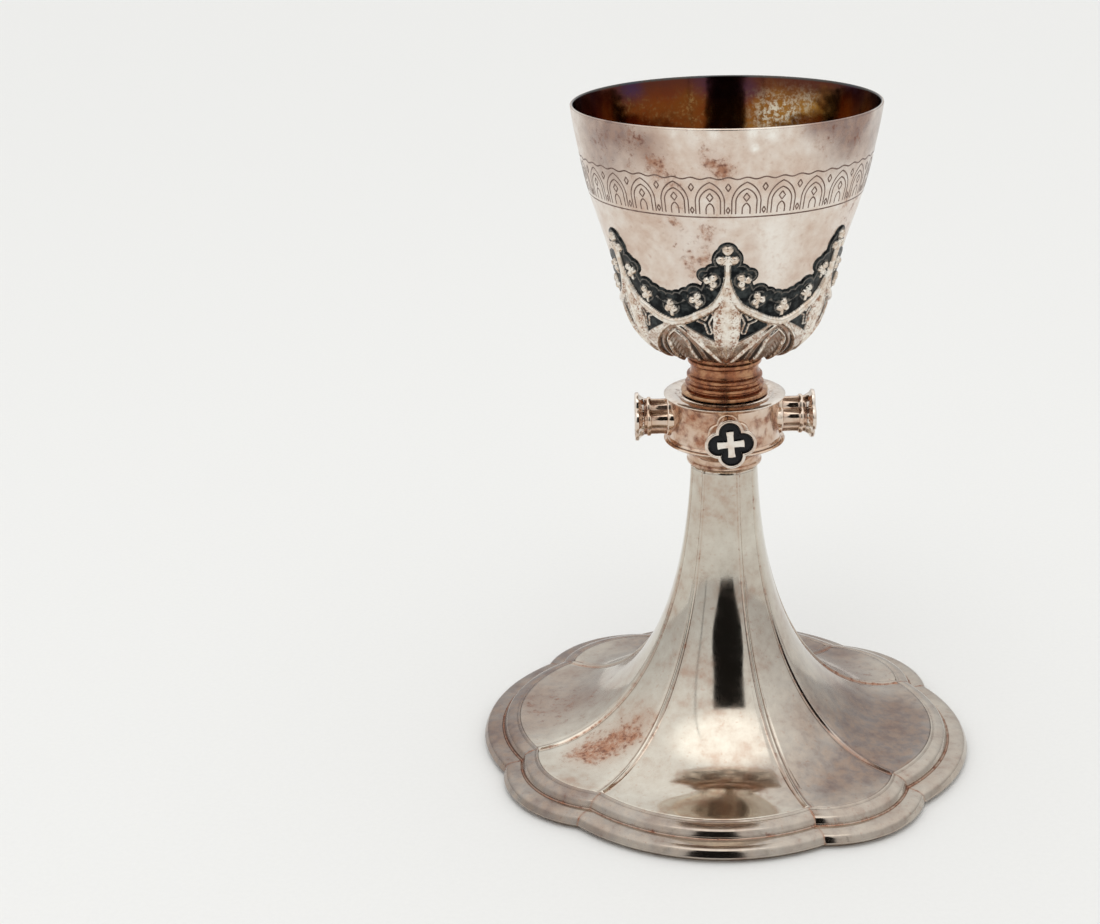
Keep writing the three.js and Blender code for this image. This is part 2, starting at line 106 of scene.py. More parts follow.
# %% [markdown]
# ## Shader maths as Python
# A node tree is hard to read as a picture and harder as code. Wrapping one output socket in a
# class with Python's own operators turns "add, multiply, clamp" nodes into ordinary lines.
# Every other node is made by one method, so there is one place where sockets are joined.


# %% The socket wrapper
class Wire:
    """One output socket. Its operators add Math nodes to the sheet that it is on."""

    def __init__(self, sheet, socket):
        self.sheet = sheet
        self.socket = socket

    def maths(self, operation, *terms):
        return self.sheet.node("ShaderNodeMath", {"operation": operation}, dict(enumerate(terms)))

    def __add__(self, other):
        return self.maths("ADD", self, other)

    def __radd__(self, other):
        return self.maths("ADD", other, self)

    def __sub__(self, other):
        return self.maths("SUBTRACT", self, other)

    def __rsub__(self, other):
        return self.maths("SUBTRACT", other, self)

    def __mul__(self, other):
        return self.maths("MULTIPLY", self, other)

    def __rmul__(self, other):
        return self.maths("MULTIPLY", other, self)

    def __truediv__(self, other):
        return self.maths("DIVIDE", self, other)

    def __abs__(self):
        return self.maths("ABSOLUTE", self)

    def root(self):
        return self.maths("SQRT", self)

    def capped(self):
        return self.maths("MINIMUM", self.maths("MAXIMUM", self, 0.0), 1.0)

    def step(self, low, high):
        """0 below low, 1 above high and a smooth rise between them."""
        sockets = {"Value": self, "From Min": low, "From Max": high}
        return self.sheet.node("ShaderNodeMapRange", {"interpolation_type": "SMOOTHSTEP"}, sockets)


print("made the socket wrapper", Wire.__name__)

# %% The sheet of nodes


class Sheet:
    """A node tree that is being filled in."""

    def __init__(self, tree):
        self.tree = tree
        tree.nodes.clear()

    def node(self, kind, settings=None, sockets=None, output=0):
        made = self.tree.nodes.new(kind)
        for name, value in (settings or {}).items():
            setattr(made, name, value)
        for key, value in (sockets or {}).items():
            if isinstance(value, Wire):
                self.tree.links.new(value.socket, made.inputs[key])
            else:
                made.inputs[key].default_value = value
        return Wire(self, made.outputs[output] if made.outputs else None)

    def mix(self, share, first, second, how="MIX"):
        """A colour between two: share 0 gives the first."""
        settings = {"data_type": "RGBA", "blend_type": how, "clamp_factor": True}
        return self.node("ShaderNodeMix", settings, {0: share, 6: first, 7: second}, output=2)

    def place(self):
        """Where a point of the surface is, in the frame of the whole chalice."""
        return self.node("ShaderNodeTexCoord", output="Object")

    def noise(self, size, detail=4.0, rough=0.55, stretch=(1, 1, 1), place=None):
        """Cloudy noise whose blots are about size millimetres across."""
        scaled = {0: place or self.place(), 1: [s / (size * MM) for s in stretch]}
        vector = self.node("ShaderNodeVectorMath", {"operation": "MULTIPLY"}, scaled)
        sockets = {"Vector": vector, "Scale": 1.0, "Detail": detail, "Roughness": rough}
        return self.node("ShaderNodeTexNoise", {}, sockets, output="Fac")

    def mark(self, name):
        """A number that the mesh carries at each of its points."""
        return self.node("ShaderNodeAttribute", {"attribute_name": name}, output="Fac")

    def bump(self, height, depth):
        """A normal from a height of 0 to 1 that stands for depth millimetres."""
        sockets = {"Height": height, "Distance": depth * MM, "Strength": 1.0}
        return self.node("ShaderNodeBump", {}, sockets)

    def part(self, vector, axis):
        """One of the three numbers of a vector."""
        return self.node("ShaderNodeSeparateXYZ", {}, {0: vector}, output=axis)

    def surface(self, sockets):
        """Ends the sheet with the one shader that all the rest feeds."""
        shader = self.node("ShaderNodeBsdfPrincipled", {}, sockets)
        self.node("ShaderNodeOutputMaterial", {}, {"Surface": shader})


print("kinds of helper on a sheet:", sum(not name.startswith("_") for name in vars(Sheet)))

# %% New finishes


def finish_sheet(name):
    """A new material, and the empty sheet that its nodes go on."""
    made = bpy.data.materials.new(name)
    made.use_nodes = True
    return made, Sheet(made.node_tree)


def colour(red, green, blue):
    return (red, green, blue, 1.0)


print("white is", colour(1.0, 1.0, 1.0))

# %% [markdown]
# ## Floor and light
# Polished silver has hardly any look of its own: it shows the room. So the room matters more
# than the lamps. A white tent all round gives the broad pale reflections, one dark upright
# slot on the camera's side gives the crisp black streaks that make metal read as metal, and a
# soft glow high in the tent lights the front of the foot.

# %% Floor
FLOOR_SPAN = 12.0
PAPER_DARK = colour(0.79, 0.79, 0.78)
PAPER_LIGHT = colour(0.825, 0.825, 0.815)
PAPER_FIBRE = 1.5  # millimetres
PAPER_ROUGHNESS = 0.7
half_floor = FLOOR_SPAN / 2
floor_corners = [(-half_floor, -half_floor, 0), (half_floor, -half_floor, 0)]
floor_corners += [(half_floor, half_floor, 0), (-half_floor, half_floor, 0)]
floor_mesh = bpy.data.meshes.new("floor")
floor_mesh.from_pydata(floor_corners, [], [(0, 1, 2, 3)])
floor = placed("floor", floor_mesh)

floor_material, sheet = finish_sheet("pale_floor")
paper = sheet.mix(sheet.noise(PAPER_FIBRE, detail=2), PAPER_DARK, PAPER_LIGHT)
sheet.surface({"Base Color": paper, "Roughness": PAPER_ROUGHNESS})
floor_mesh.materials.append(floor_material)
print("floor span, m:", FLOOR_SPAN)

# %% Sizes of the tent
# A height in the tent is 0 at the horizon and 1 straight up.
TENT_LIGHT = 1.0
TENT_LOW = colour(0.62, 0.62, 0.615)
TENT_HIGH = colour(1.12, 1.12, 1.11)
TENT_BRIGHTENS = (-0.1, 0.9)  # between these heights
FRONT_FADE = (0.0, 0.2)  # keeps the slot and the seams on the camera's side
SLOT_BLACK = colour(0.012, 0.011, 0.01)
SLOT_HALF_WIDTH = 16.5  # degrees either side of the camera, at its widest
SLOT_FOOT_WIDTH = 8.0  # below the horizon
SLOT_HEAD_WIDTH = 13.5  # at its top
SLOT_WIDENS = (-0.06, 0.22)  # between these heights
SLOT_NARROWS = (0.25, 0.5)
SLOT_TOP = 46.0  # degrees above the horizon
SLOT_BOTTOM = -6.0
SLOT_END_BLUR = 0.6  # degrees
SLOT_SIDE_BLUR = 0.01
SEAM_DARK = colour(0.05, 0.05, 0.05)
SEAM_AT = 29.0  # degrees either side of the camera, where two cloths of the tent meet
SEAM_SIDES = (0.012, 0.004)
SEAM_ENDS = (0.97, 0.85)
SEAM_STRENGTH = 0.75
GLOW = colour(1.75, 1.75, 1.72)
GLOW_HEIGHT = 68.0  # degrees above the horizon, where a lamp stands behind the cloth
GLOW_CORE = 11.0  # degrees from its middle, where it is brightest
GLOW_REACH = 27.0
ALMOST_NONE = 1e-4  # keeps a division safe straight up
print("slot from", SLOT_BOTTOM, "to", SLOT_TOP, "degrees")

# %% White tent with a dark slot


def sine(degrees):
    return sin(radians(degrees))


world = bpy.data.worlds.new("white_tent")
world.use_nodes = True
bpy.context.scene.world = world
sheet = Sheet(world.node_tree)
toward_camera = CAMERA_PLACE.xy.normalized()
direction = sheet.node("ShaderNodeTexCoord", output="Generated")
east, north, height = (sheet.part(direction, axis) for axis in "XYZ")
toward = east * toward_camera.x + north * toward_camera.y
beside = east * toward_camera.y - north * toward_camera.x
level = (toward * toward + beside * beside).root() + ALMOST_NONE
foot_width, widest, head_width = (sine(w) for w in (SLOT_FOOT_WIDTH, SLOT_HALF_WIDTH, SLOT_HEAD_WIDTH))
half_slot = foot_width + height.step(*SLOT_WIDENS) * (widest - foot_width)
half_slot = half_slot - height.step(*SLOT_NARROWS) * (widest - head_width)
within = (half_slot - abs(beside / level)).step(-SLOT_SIDE_BLUR, SLOT_SIDE_BLUR)
under = height.step(sine(SLOT_TOP + SLOT_END_BLUR), sine(SLOT_TOP - SLOT_END_BLUR))
over = height.step(sine(SLOT_BOTTOM - SLOT_END_BLUR), sine(SLOT_BOTTOM + SLOT_END_BLUR))
facing = (toward / level).step(*FRONT_FADE)
slot = within * under * over * facing
from_seam = abs(abs(beside / level) - sine(SEAM_AT))
seam = from_seam.step(*SEAM_SIDES) * facing * height.step(*SEAM_ENDS) * SEAM_STRENGTH
glow_along = toward * cos(radians(GLOW_HEIGHT)) + height * sine(GLOW_HEIGHT)
glow = glow_along.step(cos(radians(GLOW_REACH)), cos(radians(GLOW_CORE)))
shade = sheet.mix(height.step(*TENT_BRIGHTENS), TENT_LOW, TENT_HIGH)
for share, tone in ((glow, GLOW), (seam, SEAM_DARK), (slot, SLOT_BLACK)):
    shade = sheet.mix(share, shade, tone)
light = sheet.node("ShaderNodeBackground", {}, {"Color": shade, "Strength": TENT_LIGHT})
sheet.node("ShaderNodeOutputWorld", {}, {"Surface": light})
print("tent with a slot", 2 * SLOT_HALF_WIDTH, "degrees wide")

# %% Soft light from above
SOFTBOX_SPAN = 0.55
SOFTBOX_ENERGY = 1.25
SOFTBOX_FORWARD = 0.55  # metres from the chalice towards the camera
SOFTBOX_LEFT = 0.12
SOFTBOX_HEIGHT = 1.2
LIT_POINT = Vector((0, 0, 0.1))
softbox = placed("softbox", bpy.data.lights.new("softbox", "AREA"))
softbox.data.size = SOFTBOX_SPAN
softbox.data.energy = SOFTBOX_ENERGY
softbox.visible_glossy = False
softbox_place = toward_camera * SOFTBOX_FORWARD - Vector((SOFTBOX_LEFT, 0))
softbox.location = (*softbox_place, SOFTBOX_HEIGHT)
softbox.rotation_euler = (LIT_POINT - softbox.location).to_track_quat("-Z", "Y").to_euler()
bpy.context.scene.view_settings.view_transform = "Standard"
print("softbox at", [round(v, 2) for v in softbox.location])

# %% [markdown]
# ## Silver, and what air does to it
# Old silver isn't grey. Sulphur in the air lays a film on it that runs from straw through
# pink-brown to violet and blue-black. Handling rubs it off again. So the finish has clean
# metal, a thin warm haze in soft clouds, dark stains, a blue-grey dusk, and spots that are
# rubbed bright. The mesh says where they lie with three numbers at each point, "brown",
# "dusk" and "rubbed", and noise breaks up their edges.
# On the bowl, the dusk spots right under the lip are painted shade, and the brown spots just below them
# partly so.

# %% Tarnished silver
BROWN_BLACK = colour(0.15, 0.055, 0.035)  # the heart of a stain
WARM_DUSK = colour(0.52, 0.42, 0.39)
COOL_DUSK = colour(0.42, 0.40, 0.44)
RUBBED_BRIGHT = colour(0.93, 0.90, 0.84)
FILM_CLOUD = 17  # millimetres, like the sizes below
DENT_SIZE = 14
SCRATCH_SIZE = 0.5
UNEVEN_DEPTH = 0.07


def silver(name, clean, haze, stain, hazed, shine, wobble, grain=(1, 1, 1), patch=3.4, soft=0.16):
    """Polished metal under a patchy film. hazed is the film's share, soft how slowly it fades."""
    made, sheet = finish_sheet(name)
    place = sheet.place()
    clouds = sheet.noise(FILM_CLOUD, detail=4, place=place)
    mottle = sheet.noise(patch, detail=5, rough=0.6, place=place)
    flecks = sheet.noise(patch * 0.4, detail=5, rough=0.6, place=place)
    brown, dusk, rubbed = (sheet.mark(mark) for mark in ("brown", "dusk", "rubbed"))
    middle = 0.66 - 0.3 * hazed
    film = (clouds * 0.55 + mottle * 0.45).step(middle - soft, middle + soft)
    deep = (mottle * 0.5 + clouds * 0.5).step(0.5, 0.72)
    warm = (brown * 1.1 + (clouds - 0.5) * 0.8).capped() * 0.8
    tint = sheet.mix(film, clean, haze)
    tint = sheet.mix(deep * 0.35, tint, stain)
    tint = sheet.mix(warm, tint, sheet.mix(0.45, haze, stain))
    tint = sheet.mix(flecks.step(0.58, 0.72) * 0.3, tint, stain)
    # the dusk mark darkens the metal towards blue: tarnish, and on the bowl just under the lip painted
    # shade
    blue = (dusk * (0.55 + clouds)).capped()
    dusk_tone = sheet.mix(mottle.step(0.35, 0.65), WARM_DUSK, COOL_DUSK)
    tint = sheet.mix(blue, tint, dusk_tone, "MULTIPLY")
    blot = ((mottle - 0.5) * 2.0 + (flecks - 0.5) * 1.5 + brown * 0.9 - 0.36).step(0.0, 0.75)
    blotted = blot * brown.step(0.02, 0.25)
    blot_tone = sheet.mix(flecks.step(0.45, 0.7), stain, BROWN_BLACK)
    tint = sheet.mix(blotted * 0.9, tint, blot_tone)
    clear = rubbed * (0.5 + flecks * 1.4).step(0.75, 1.3)
    tint = sheet.mix(clear.capped(), tint, RUBBED_BRIGHT)
    scratch = sheet.noise(SCRATCH_SIZE, detail=3, rough=0.7, stretch=grain, place=place)
    dents = sheet.noise(DENT_SIZE, detail=1, place=place)
    dull = film * 0.05 + blotted * 0.2 + (mottle - 0.5) * 0.1 + blue * 0.08 + flecks * 0.03
    sockets = {
        "Base Color": tint,
        "Metallic": 1.0 - blotted * 0.25,
        "Roughness": shine + dull,
        "Normal": sheet.bump(dents * wobble + scratch * 0.03 + flecks * 0.02, UNEVEN_DEPTH),
    }
    sheet.surface(sockets)
    return made


print("silver recipe ready")

# %% Silver of each piece
STAIN = colour(0.40, 0.18, 0.10)
COPPER_STAIN = colour(0.34, 0.12, 0.055)
CUP_CLEAN, CUP_HAZE = colour(0.86, 0.81, 0.75), colour(0.71, 0.59, 0.50)
CUP_GRAIN = (0.25, 0.25, 3)  # scratches run round the cup
FOOT_CLEAN, FOOT_HAZE = colour(0.69, 0.66, 0.58), colour(0.51, 0.44, 0.365)
KNOP_CLEAN, KNOP_HAZE = colour(0.87, 0.80, 0.71), colour(0.66, 0.48, 0.34)
NECK_CLEAN, NECK_HAZE = colour(0.80, 0.62, 0.42), colour(0.44, 0.22, 0.10)
BRIGHT_CLEAN, BRIGHT_HAZE = colour(0.88, 0.84, 0.78), colour(0.72, 0.61, 0.50)
bowl_silver = silver("bowl_silver", CUP_CLEAN, CUP_HAZE, STAIN, 0.75, 0.14, 0.9, grain=CUP_GRAIN)
foot_silver = silver("foot_silver", FOOT_CLEAN, FOOT_HAZE, STAIN, 0.6, 0.04, 0.7, soft=0.3)
knop_silver = silver("knop_silver", KNOP_CLEAN, KNOP_HAZE, COPPER_STAIN, 0.5, 0.05, 0.6, patch=6.0)
neck_silver = silver("neck_silver", NECK_CLEAN, NECK_HAZE, COPPER_STAIN, 0.6, 0.05, 0.6, patch=5.0)
bright_silver = silver("bright_silver", BRIGHT_CLEAN, BRIGHT_HAZE, STAIN, 0.4, 0.07, 0.5)
print("finishes so far:", len(bpy.data.materials))

# %% [markdown]
# ## Gilding inside the bowl
# The inside is gilt so that wine can't mark it. Old gilding on silver darkens from the rim
# down, where the silver works through: violet and blue at the lip, amber lower down, and bare
# silver in flecks where it has worn away. A mirror that faces itself multiplies its own
# colour, so the base colour is paler than the result.
# Besides, the inside is painted darker on its left side, as painted shade, and lighter on its right, as
# painted light.

# %% Gilding
# the first two golds are one gold in shade and in light: painted shade on the left of the inside, painted
# light on the right
GOLD_SHADED_SIDE = colour(0.20, 0.06, 0.012)
GOLD_LIT_SIDE = colour(0.46, 0.23, 0.045)
GOLD_RED = colour(0.20, 0.040, 0.008)
GOLD_BRIGHT = colour(0.68, 0.47, 0.20)
PLUM_BROWN = colour(0.12, 0.035, 0.022)
PLUM_BLUE = colour(0.075, 0.035, 0.075)
LIP_TEAL = colour(0.07, 0.12, 0.12)
FLECK_BROWN = colour(0.12, 0.04, 0.015)
BARE_SILVER = colour(0.80, 0.72, 0.56)
SHADED_TO_LIT_SPAN = (-0.012, 0.022)  # metres across the cup, from the side painted in shade to the side painted lit
PLUM_REACH = (9.0, 0.5)  # millimetres below the lip, where the plum begins and is full
TEAL_REACH = (1.0, 0.5)
lip_height = highest("bowl")[2]


def gilding():
    made, sheet = finish_sheet("old_gilding")
    place = sheet.place()
    clouds = sheet.noise(13, detail=5, place=place)
    mottle = sheet.noise(2.6, detail=6, rough=0.65, place=place)
    flecks = sheet.noise(0.9, detail=5, rough=0.65, place=place)
    drift = sheet.noise(34, detail=2, place=place)
    below_lip = (lip_height * MM - sheet.part(place, "Z")) / MM
    # share of painted light across the inside: 0 on the left, painted in shade, 1 on the right, painted
    # lit; the red fades and the bright flecks gather towards the lit side
    right = sheet.part(place, "X").step(*SHADED_TO_LIT_SPAN)
    reddened = (drift * 0.6 + clouds * 0.4).step(0.58, 0.42) * (1 - right * 0.6)
    gold_lit_and_shaded = sheet.mix(right, GOLD_SHADED_SIDE, GOLD_LIT_SIDE)
    amber = sheet.mix(reddened, gold_lit_and_shaded, GOLD_RED)
    bright = (mottle * 0.5 + flecks * 0.5).step(0.5, 0.64) * drift.step(0.38, 0.6) * (0.35 + right * 0.65)
    amber = sheet.mix(bright, amber, GOLD_BRIGHT)
    plum = sheet.mix(drift.step(0.42, 0.58), PLUM_BROWN, PLUM_BLUE)
    tint = sheet.mix((below_lip + (clouds - 0.5) * 14).step(*PLUM_REACH), amber, plum)
    tint = sheet.mix(below_lip.step(*TEAL_REACH) * 0.6, tint, LIP_TEAL)
    tint = sheet.mix(flecks.step(0.54, 0.68) * 0.5, tint, FLECK_BROWN)
    worn = sheet.mark("rubbed") * (mottle * 0.4 + flecks * 0.6).step(0.44, 0.58)
    tint = sheet.mix(worn, tint, BARE_SILVER)
    sockets = {
        "Base Color": tint,
        "Metallic": 1.0,
        "Roughness": 0.05 + mottle * 0.14,
        "Normal": sheet.bump(sheet.noise(9, detail=2, place=place), 0.12),
    }
    sheet.surface(sockets)
    return made


old_gilding = gilding()
print("gilding darkens towards", round(lip_height, 1), "mm")

# %% [markdown]
# ## Oxidised ground, enamel and steel
# The calyx is chased work. Its hollows are left black from the liver-of-sulphur bath and its
# high parts are polished bright again. The mesh marks the hollows as "ground" and tells how
# deep a point lies as "recess". The bosses hold black enamel, which is glass: smooth and not
# metal. The rod, nut and plates that nobody sees are plain steel.

# %% Chased silver
RELIEF_CLEAN = colour(0.86, 0.81, 0.73)
RELIEF_WARM = colour(0.67, 0.54, 0.43)
RECESS_BROWN = colour(0.24, 0.15, 0.10)
SPOT_BROWN = colour(0.33, 0.18, 0.12)
GROUND_BLACK = colour(0.010, 0.011, 0.012)
GROUND_WORN = colour(0.055, 0.062, 0.062)


def chased():
    made, sheet = finish_sheet("chased_silver")
    place = sheet.place()
    mottle = sheet.noise(2.2, detail=5, rough=0.6, place=place)
    stipple = sheet.noise(0.55, detail=3, place=place)
    ground, recess, brown = (sheet.mark(mark) for mark in ("ground", "recess", "brown"))
    relief = sheet.mix(mottle.step(0.35, 0.65), RELIEF_CLEAN, RELIEF_WARM)
    worn = (recess * 1.9 + (mottle - 0.5) * 1.1 - 0.5).step(0.0, 0.8)
    relief = sheet.mix(worn * 0.85, relief, RECESS_BROWN)
    spotted = ((stipple - 0.5) * 3.4 + (mottle - 0.5) * 2.2 + brown * 0.8 - 0.55).step(0.0, 0.7)
    relief = sheet.mix((spotted * brown * 1.2).capped(), relief, SPOT_BROWN)
    black = sheet.mix(mottle.step(0.4, 0.72), GROUND_BLACK, GROUND_WORN)
    sockets = {
        "Base Color": sheet.mix(ground, relief, black),
        "Metallic": 1.0,
        "Roughness": 0.13 + recess * 0.12 + ground * 0.12 + mottle * 0.08,
        "Normal": sheet.bump(stipple * (ground * 0.6 + brown * 0.3) + mottle * 0.3, 0.05),
    }
    sheet.surface(sockets)
    return made


chased_silver = chased()
print("chased silver ready")

# %% Engraved line, enamel and steel


def plain_finish(name, first, second, size, metal, rough, depth, mirror=0.5):
    """Two colours in noise, for small or hidden pieces. mirror is how much light its face returns."""
    made, sheet = finish_sheet(name)
    cloud = sheet.noise(size, detail=5, rough=0.6)
    fine = sheet.noise(size / 6, detail=3)
    sockets = {
        "Base Color": sheet.mix(cloud.step(0.35, 0.65), first, second),
        "Metallic": metal,
        "Roughness": rough + fine * 0.12,
        "Normal": sheet.bump(fine, depth),
        "Specular IOR Level": mirror,
    }
    sheet.surface(sockets)
    return made


LINE_DARK, LINE_BROWN = colour(0.13, 0.075, 0.055), colour(0.24, 0.16, 0.13)
ENAMEL_BLACK, ENAMEL_GREY = colour(0.003, 0.003, 0.004), colour(0.008, 0.008, 0.010)
STEEL_GREY, STEEL_BROWN = colour(0.42, 0.41, 0.39), colour(0.30, 0.26, 0.22)
engraved_line = plain_finish("engraved_line", LINE_DARK, LINE_BROWN, 2, 0.6, 0.3, 0.01)
black_enamel = plain_finish("black_enamel", ENAMEL_BLACK, ENAMEL_GREY, 3, 0.0, 0.12, 0.01, mirror=0.22)
turned_steel = plain_finish("turned_steel", STEEL_GREY, STEEL_BROWN, 5, 1.0, 0.32, 0.03)
print("finishes:", len(bpy.data.materials))

# %% [markdown]
# ## Meshes from grids
# Nearly every piece here was spun, turned or raised over a stake, so its surface is a grid:
# rows that follow a profile and columns that go round. One function turns such a grid into a
# mesh. Profiles are drawn with corners and softened afterwards, as a file softens an edge.

# %% Grid helpers


def skin(name, grid, finish, ring=True, loop=True, marks=None, keep=None):
    """A mesh over a grid of points in millimetres. ring joins the columns, loop joins the rows."""
    rows, columns = grid.shape[:2]
    row = np.arange(rows if loop else rows - 1)[:, None]
    column = np.arange(columns if ring else columns - 1)[None, :]
    corners = []
    for down, along in ((0, 0), (0, 1), (1, 1), (1, 0)):
        corners.append((row + down) % rows * columns + (column + along) % columns)
    faces = np.stack(corners, -1).reshape(-1, 4)
    if keep is not None:
        faces = faces[keep.reshape(-1)[faces].any(axis=1)]
    places = grid.reshape(-1, 3)
    used, packed = np.unique(faces, return_inverse=True)
    faces = packed.reshape(-1, 4)
    places = places[used]
    centred = places - places.mean(0)
    first, second, third, fourth = (centred[faces[:, i]] for i in range(4))
    volume = np.einsum("ij,ij->", first, np.cross(second - first, third - first))
    volume += np.einsum("ij,ij->", first, np.cross(third - first, fourth - first))
    if volume < 0:
        faces = faces[:, ::-1]
    mesh = bpy.data.meshes.new(name)
    mesh.from_pydata((places * MM).tolist(), [], faces.tolist())
    for mark, values in (marks or {}).items():
        layer = mesh.attributes.new(mark, "FLOAT", "POINT")
        spread = np.broadcast_to(values, (rows, columns)).reshape(-1)[used]
        layer.data.foreach_set("value", spread.astype(np.float32))
    mesh.shade_smooth()
    mesh.materials.append(finish)
    return placed(name, mesh)


print("skin helper ready")

# %% Softened outlines and turning


def softened(corners, radius=0.3, spacing=0.6, steps=5):
    """A closed outline with its corners rounded and its long sides divided."""
    corners = np.array(corners, float)
    line = []
    for i, corner in enumerate(corners):
        before = corners[i - 1] - corner
        after = corners[(i + 1) % len(corners)] - corner
        cut = min(radius, 0.45 * np.linalg.norm(before), 0.45 * np.linalg.norm(after))
        start = corner + before / np.linalg.norm(before) * cut
        end = corner + after / np.linalg.norm(after) * cut
        for t in np.linspace(0, 1, steps):
            line.append((1 - t) ** 2 * start + 2 * t * (1 - t) * corner + t**2 * end)
    closed = np.array(line + [line[0]])
    pieces = []
    for start, end in zip(closed[:-1], closed[1:]):
        parts = max(1, int(np.ceil(np.linalg.norm(end - start) / spacing)))
        pieces.append(start + (end - start) * np.arange(parts)[:, None] / parts)
    return np.concatenate(pieces)


def spun(profile, columns):
    """The grid of a body of revolution, with its azimuths in degrees from the front."""
    azimuth = np.linspace(0, 360, columns, endpoint=False)
    r = profile[:, :1]
    z = np.broadcast_to(profile[:, 1:], (len(profile), columns))
    turn = np.radians(azimuth)[None, :]
    return np.stack([r * np.sin(turn), -r * np.cos(turn), z], -1), azimuth


print("points round a softened square:", len(softened([(0, 0), (5, 0), (5, 5), (0, 5)])))

# %% Stains, and what a piece stands for


def stands_for(piece, slot, *nodes):
    """The piece rides on the one body and stands for CAD nodes, which are hidden. slot is not used."""
    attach(piece, "root")
    if nodes:
        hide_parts(*nodes)
    print(piece.name, "faces:", len(piece.data.polygons))
    return piece


def cup_stain(azimuth, height, spots, radius):
    """How strongly a point is stained by round spots: (azimuth, height, size, strength)."""
    total = np.zeros(np.broadcast(azimuth, height).shape)
    for at, level, size, strength in spots:
        beside = (azimuth - at + 180) % 360 - 180
        across = np.radians(beside) * radius
        total += strength * np.exp(-(across**2 + (height - level) ** 2) / (2 * size**2))
    return np.clip(total, 0, 1)


print("mesh helpers ready")

# %% [markdown]
# ## The bowl
# The bowl is one sheet, raised from a disc with a hammer and planished smooth. It is egg
# shaped below and opens to a thin lip. Ten points and a smooth curve give the outside, and
# the inside is the same curve moved in by the thickness. A faint unevenness stays in the
# metal, which bends the reflections a little as hand work does.

# %% Cup outline
CUP_OUTLINE = [
    (0, 0),
    (0.245, 0.003),
    (0.455, 0.034),
    (0.59, 0.112),
    (0.66, 0.215),
    (0.715, 0.33),
    (0.79, 0.476),
    (0.896, 0.677),
    (0.967, 0.878),
    (1, 1),
]
rim_radius = highest("bowl")[0]
bowl_bottom = lowest("bowl")[2]
bowl_depth = highest("bowl")[2] - bowl_bottom


def smooth_line(points, steps):
    """A curve through the points, each stretch divided into steps."""
    points = np.array(points, float)
    line = []
    for i in range(len(points) - 1):
        start, end = points[i], points[i + 1]
        before = points[max(i - 1, 0)]
        after = points[min(i + 2, len(points) - 1)]
        leave = (end - before) / 2
        arrive = (after - start) / 2
        for t in np.arange(steps) / steps:
            bend = (2 * start - 2 * end + leave + arrive) * t**3
            bend += (3 * end - 3 * start - 2 * leave - arrive) * t**2
            line.append(bend + leave * t + start)
    return np.array(line + [points[-1]])


def moved_out(line, distance):
    """The same outline moved sideways, outwards where it runs up the outside."""
    along = np.gradient(line, axis=0)
    along /= np.linalg.norm(along, axis=1)[:, None]
    return line + np.stack([along[:, 1], -along[:, 0]], 1) * distance


cup = smooth_line([(r * rim_radius, bowl_bottom + z * bowl_depth) for r, z in CUP_OUTLINE], 16)
print("cup outline points:", len(cup))

# %% Stains of the bowl
BOWL_WALL = 0.9
LIP_STEPS = 8
BOWL_COLUMNS = 320
AXIS_HOLE = 0.02  # the middle of the bottom is left open by this much
TRUE_MIDDLE = 12  # nearer the axis than this the bowl is true
LIP_FADE = 8
# azimuth, height, size, strength of the stains on the outside; the spots at heights 200 to 202 near 45,
# 60, -28 and -46 degrees also stand for painted shade under the lip
BROWN_AND_LIP_SHADE_SPOTS = [
    (4, 194, 2.6, 0.95),
    (-1, 197.5, 2.4, 0.6),
    (-20, 194.5, 2.4, 0.85),
    (-13, 189, 4, 0.5),
    (-8, 165, 5, 0.55),
    (-1, 175, 3, 0.6),
    (-14, 177, 4, 0.5),
    (-28, 201, 5, 0.5),
    (-46, 200, 6, 0.5),
    (45, 202, 4, 0.45),
    (60, 201, 5, 0.45),
    (70, 176, 7, 0.4),
    (140, 190, 8, 0.6),
    (175, 198, 6, 0.7),
    (-150, 185, 9, 0.6),
    (-100, 178, 6, 0.5),
]
# azimuth, height, size, strength of the blue tarnish; the spots at heights 204 and 205 are painted shade
# just under the lip
DUSK_AND_LIP_SHADE_SPOTS = [
    (-46, 199, 8, 0.9),
    (-24, 200, 4, 0.6),
    (38, 205, 2.5, 0.9),
    (47, 205, 2.5, 1.0),
    (64, 205, 2.5, 1.0),
    (-36, 204, 3, 0.7),
    (55, 201, 7, 0.85),
    (80, 199, 7, 0.8),
    (120, 201, 7, 0.7),
    (170, 199, 8, 0.8),
    (-140, 199, 9, 0.8),
    (-95, 200, 8, 0.7),
]
RUBBED_SPOTS = [
    (16, 200, 0.75, 1.0),
    (15, 204, 1.2, 0.6),
    (22, 203.5, 1.4, 0.6),
    (2, 204, 1.0, 0.5),
    (-12, 204, 1.0, 0.4),
    (30, 165, 5, 0.4),
    (25, 176, 5, 0.35),
]
RUBBED_STRENGTH = 1.6
# places inside where the gilding has worn through
WORN_SPOTS = [(167, 194, 3.5, 1.0), (158, 195, 3.5, 0.7), (150, 199, 2, 0.4), (20, 150, 9, 0.5)]


print("stains on the bowl:", len(BROWN_AND_LIP_SHADE_SPOTS) + len(DUSK_AND_LIP_SHADE_SPOTS))
print("rubbed or worn places:", len(RUBBED_SPOTS) + len(WORN_SPOTS))

# %% Bowl


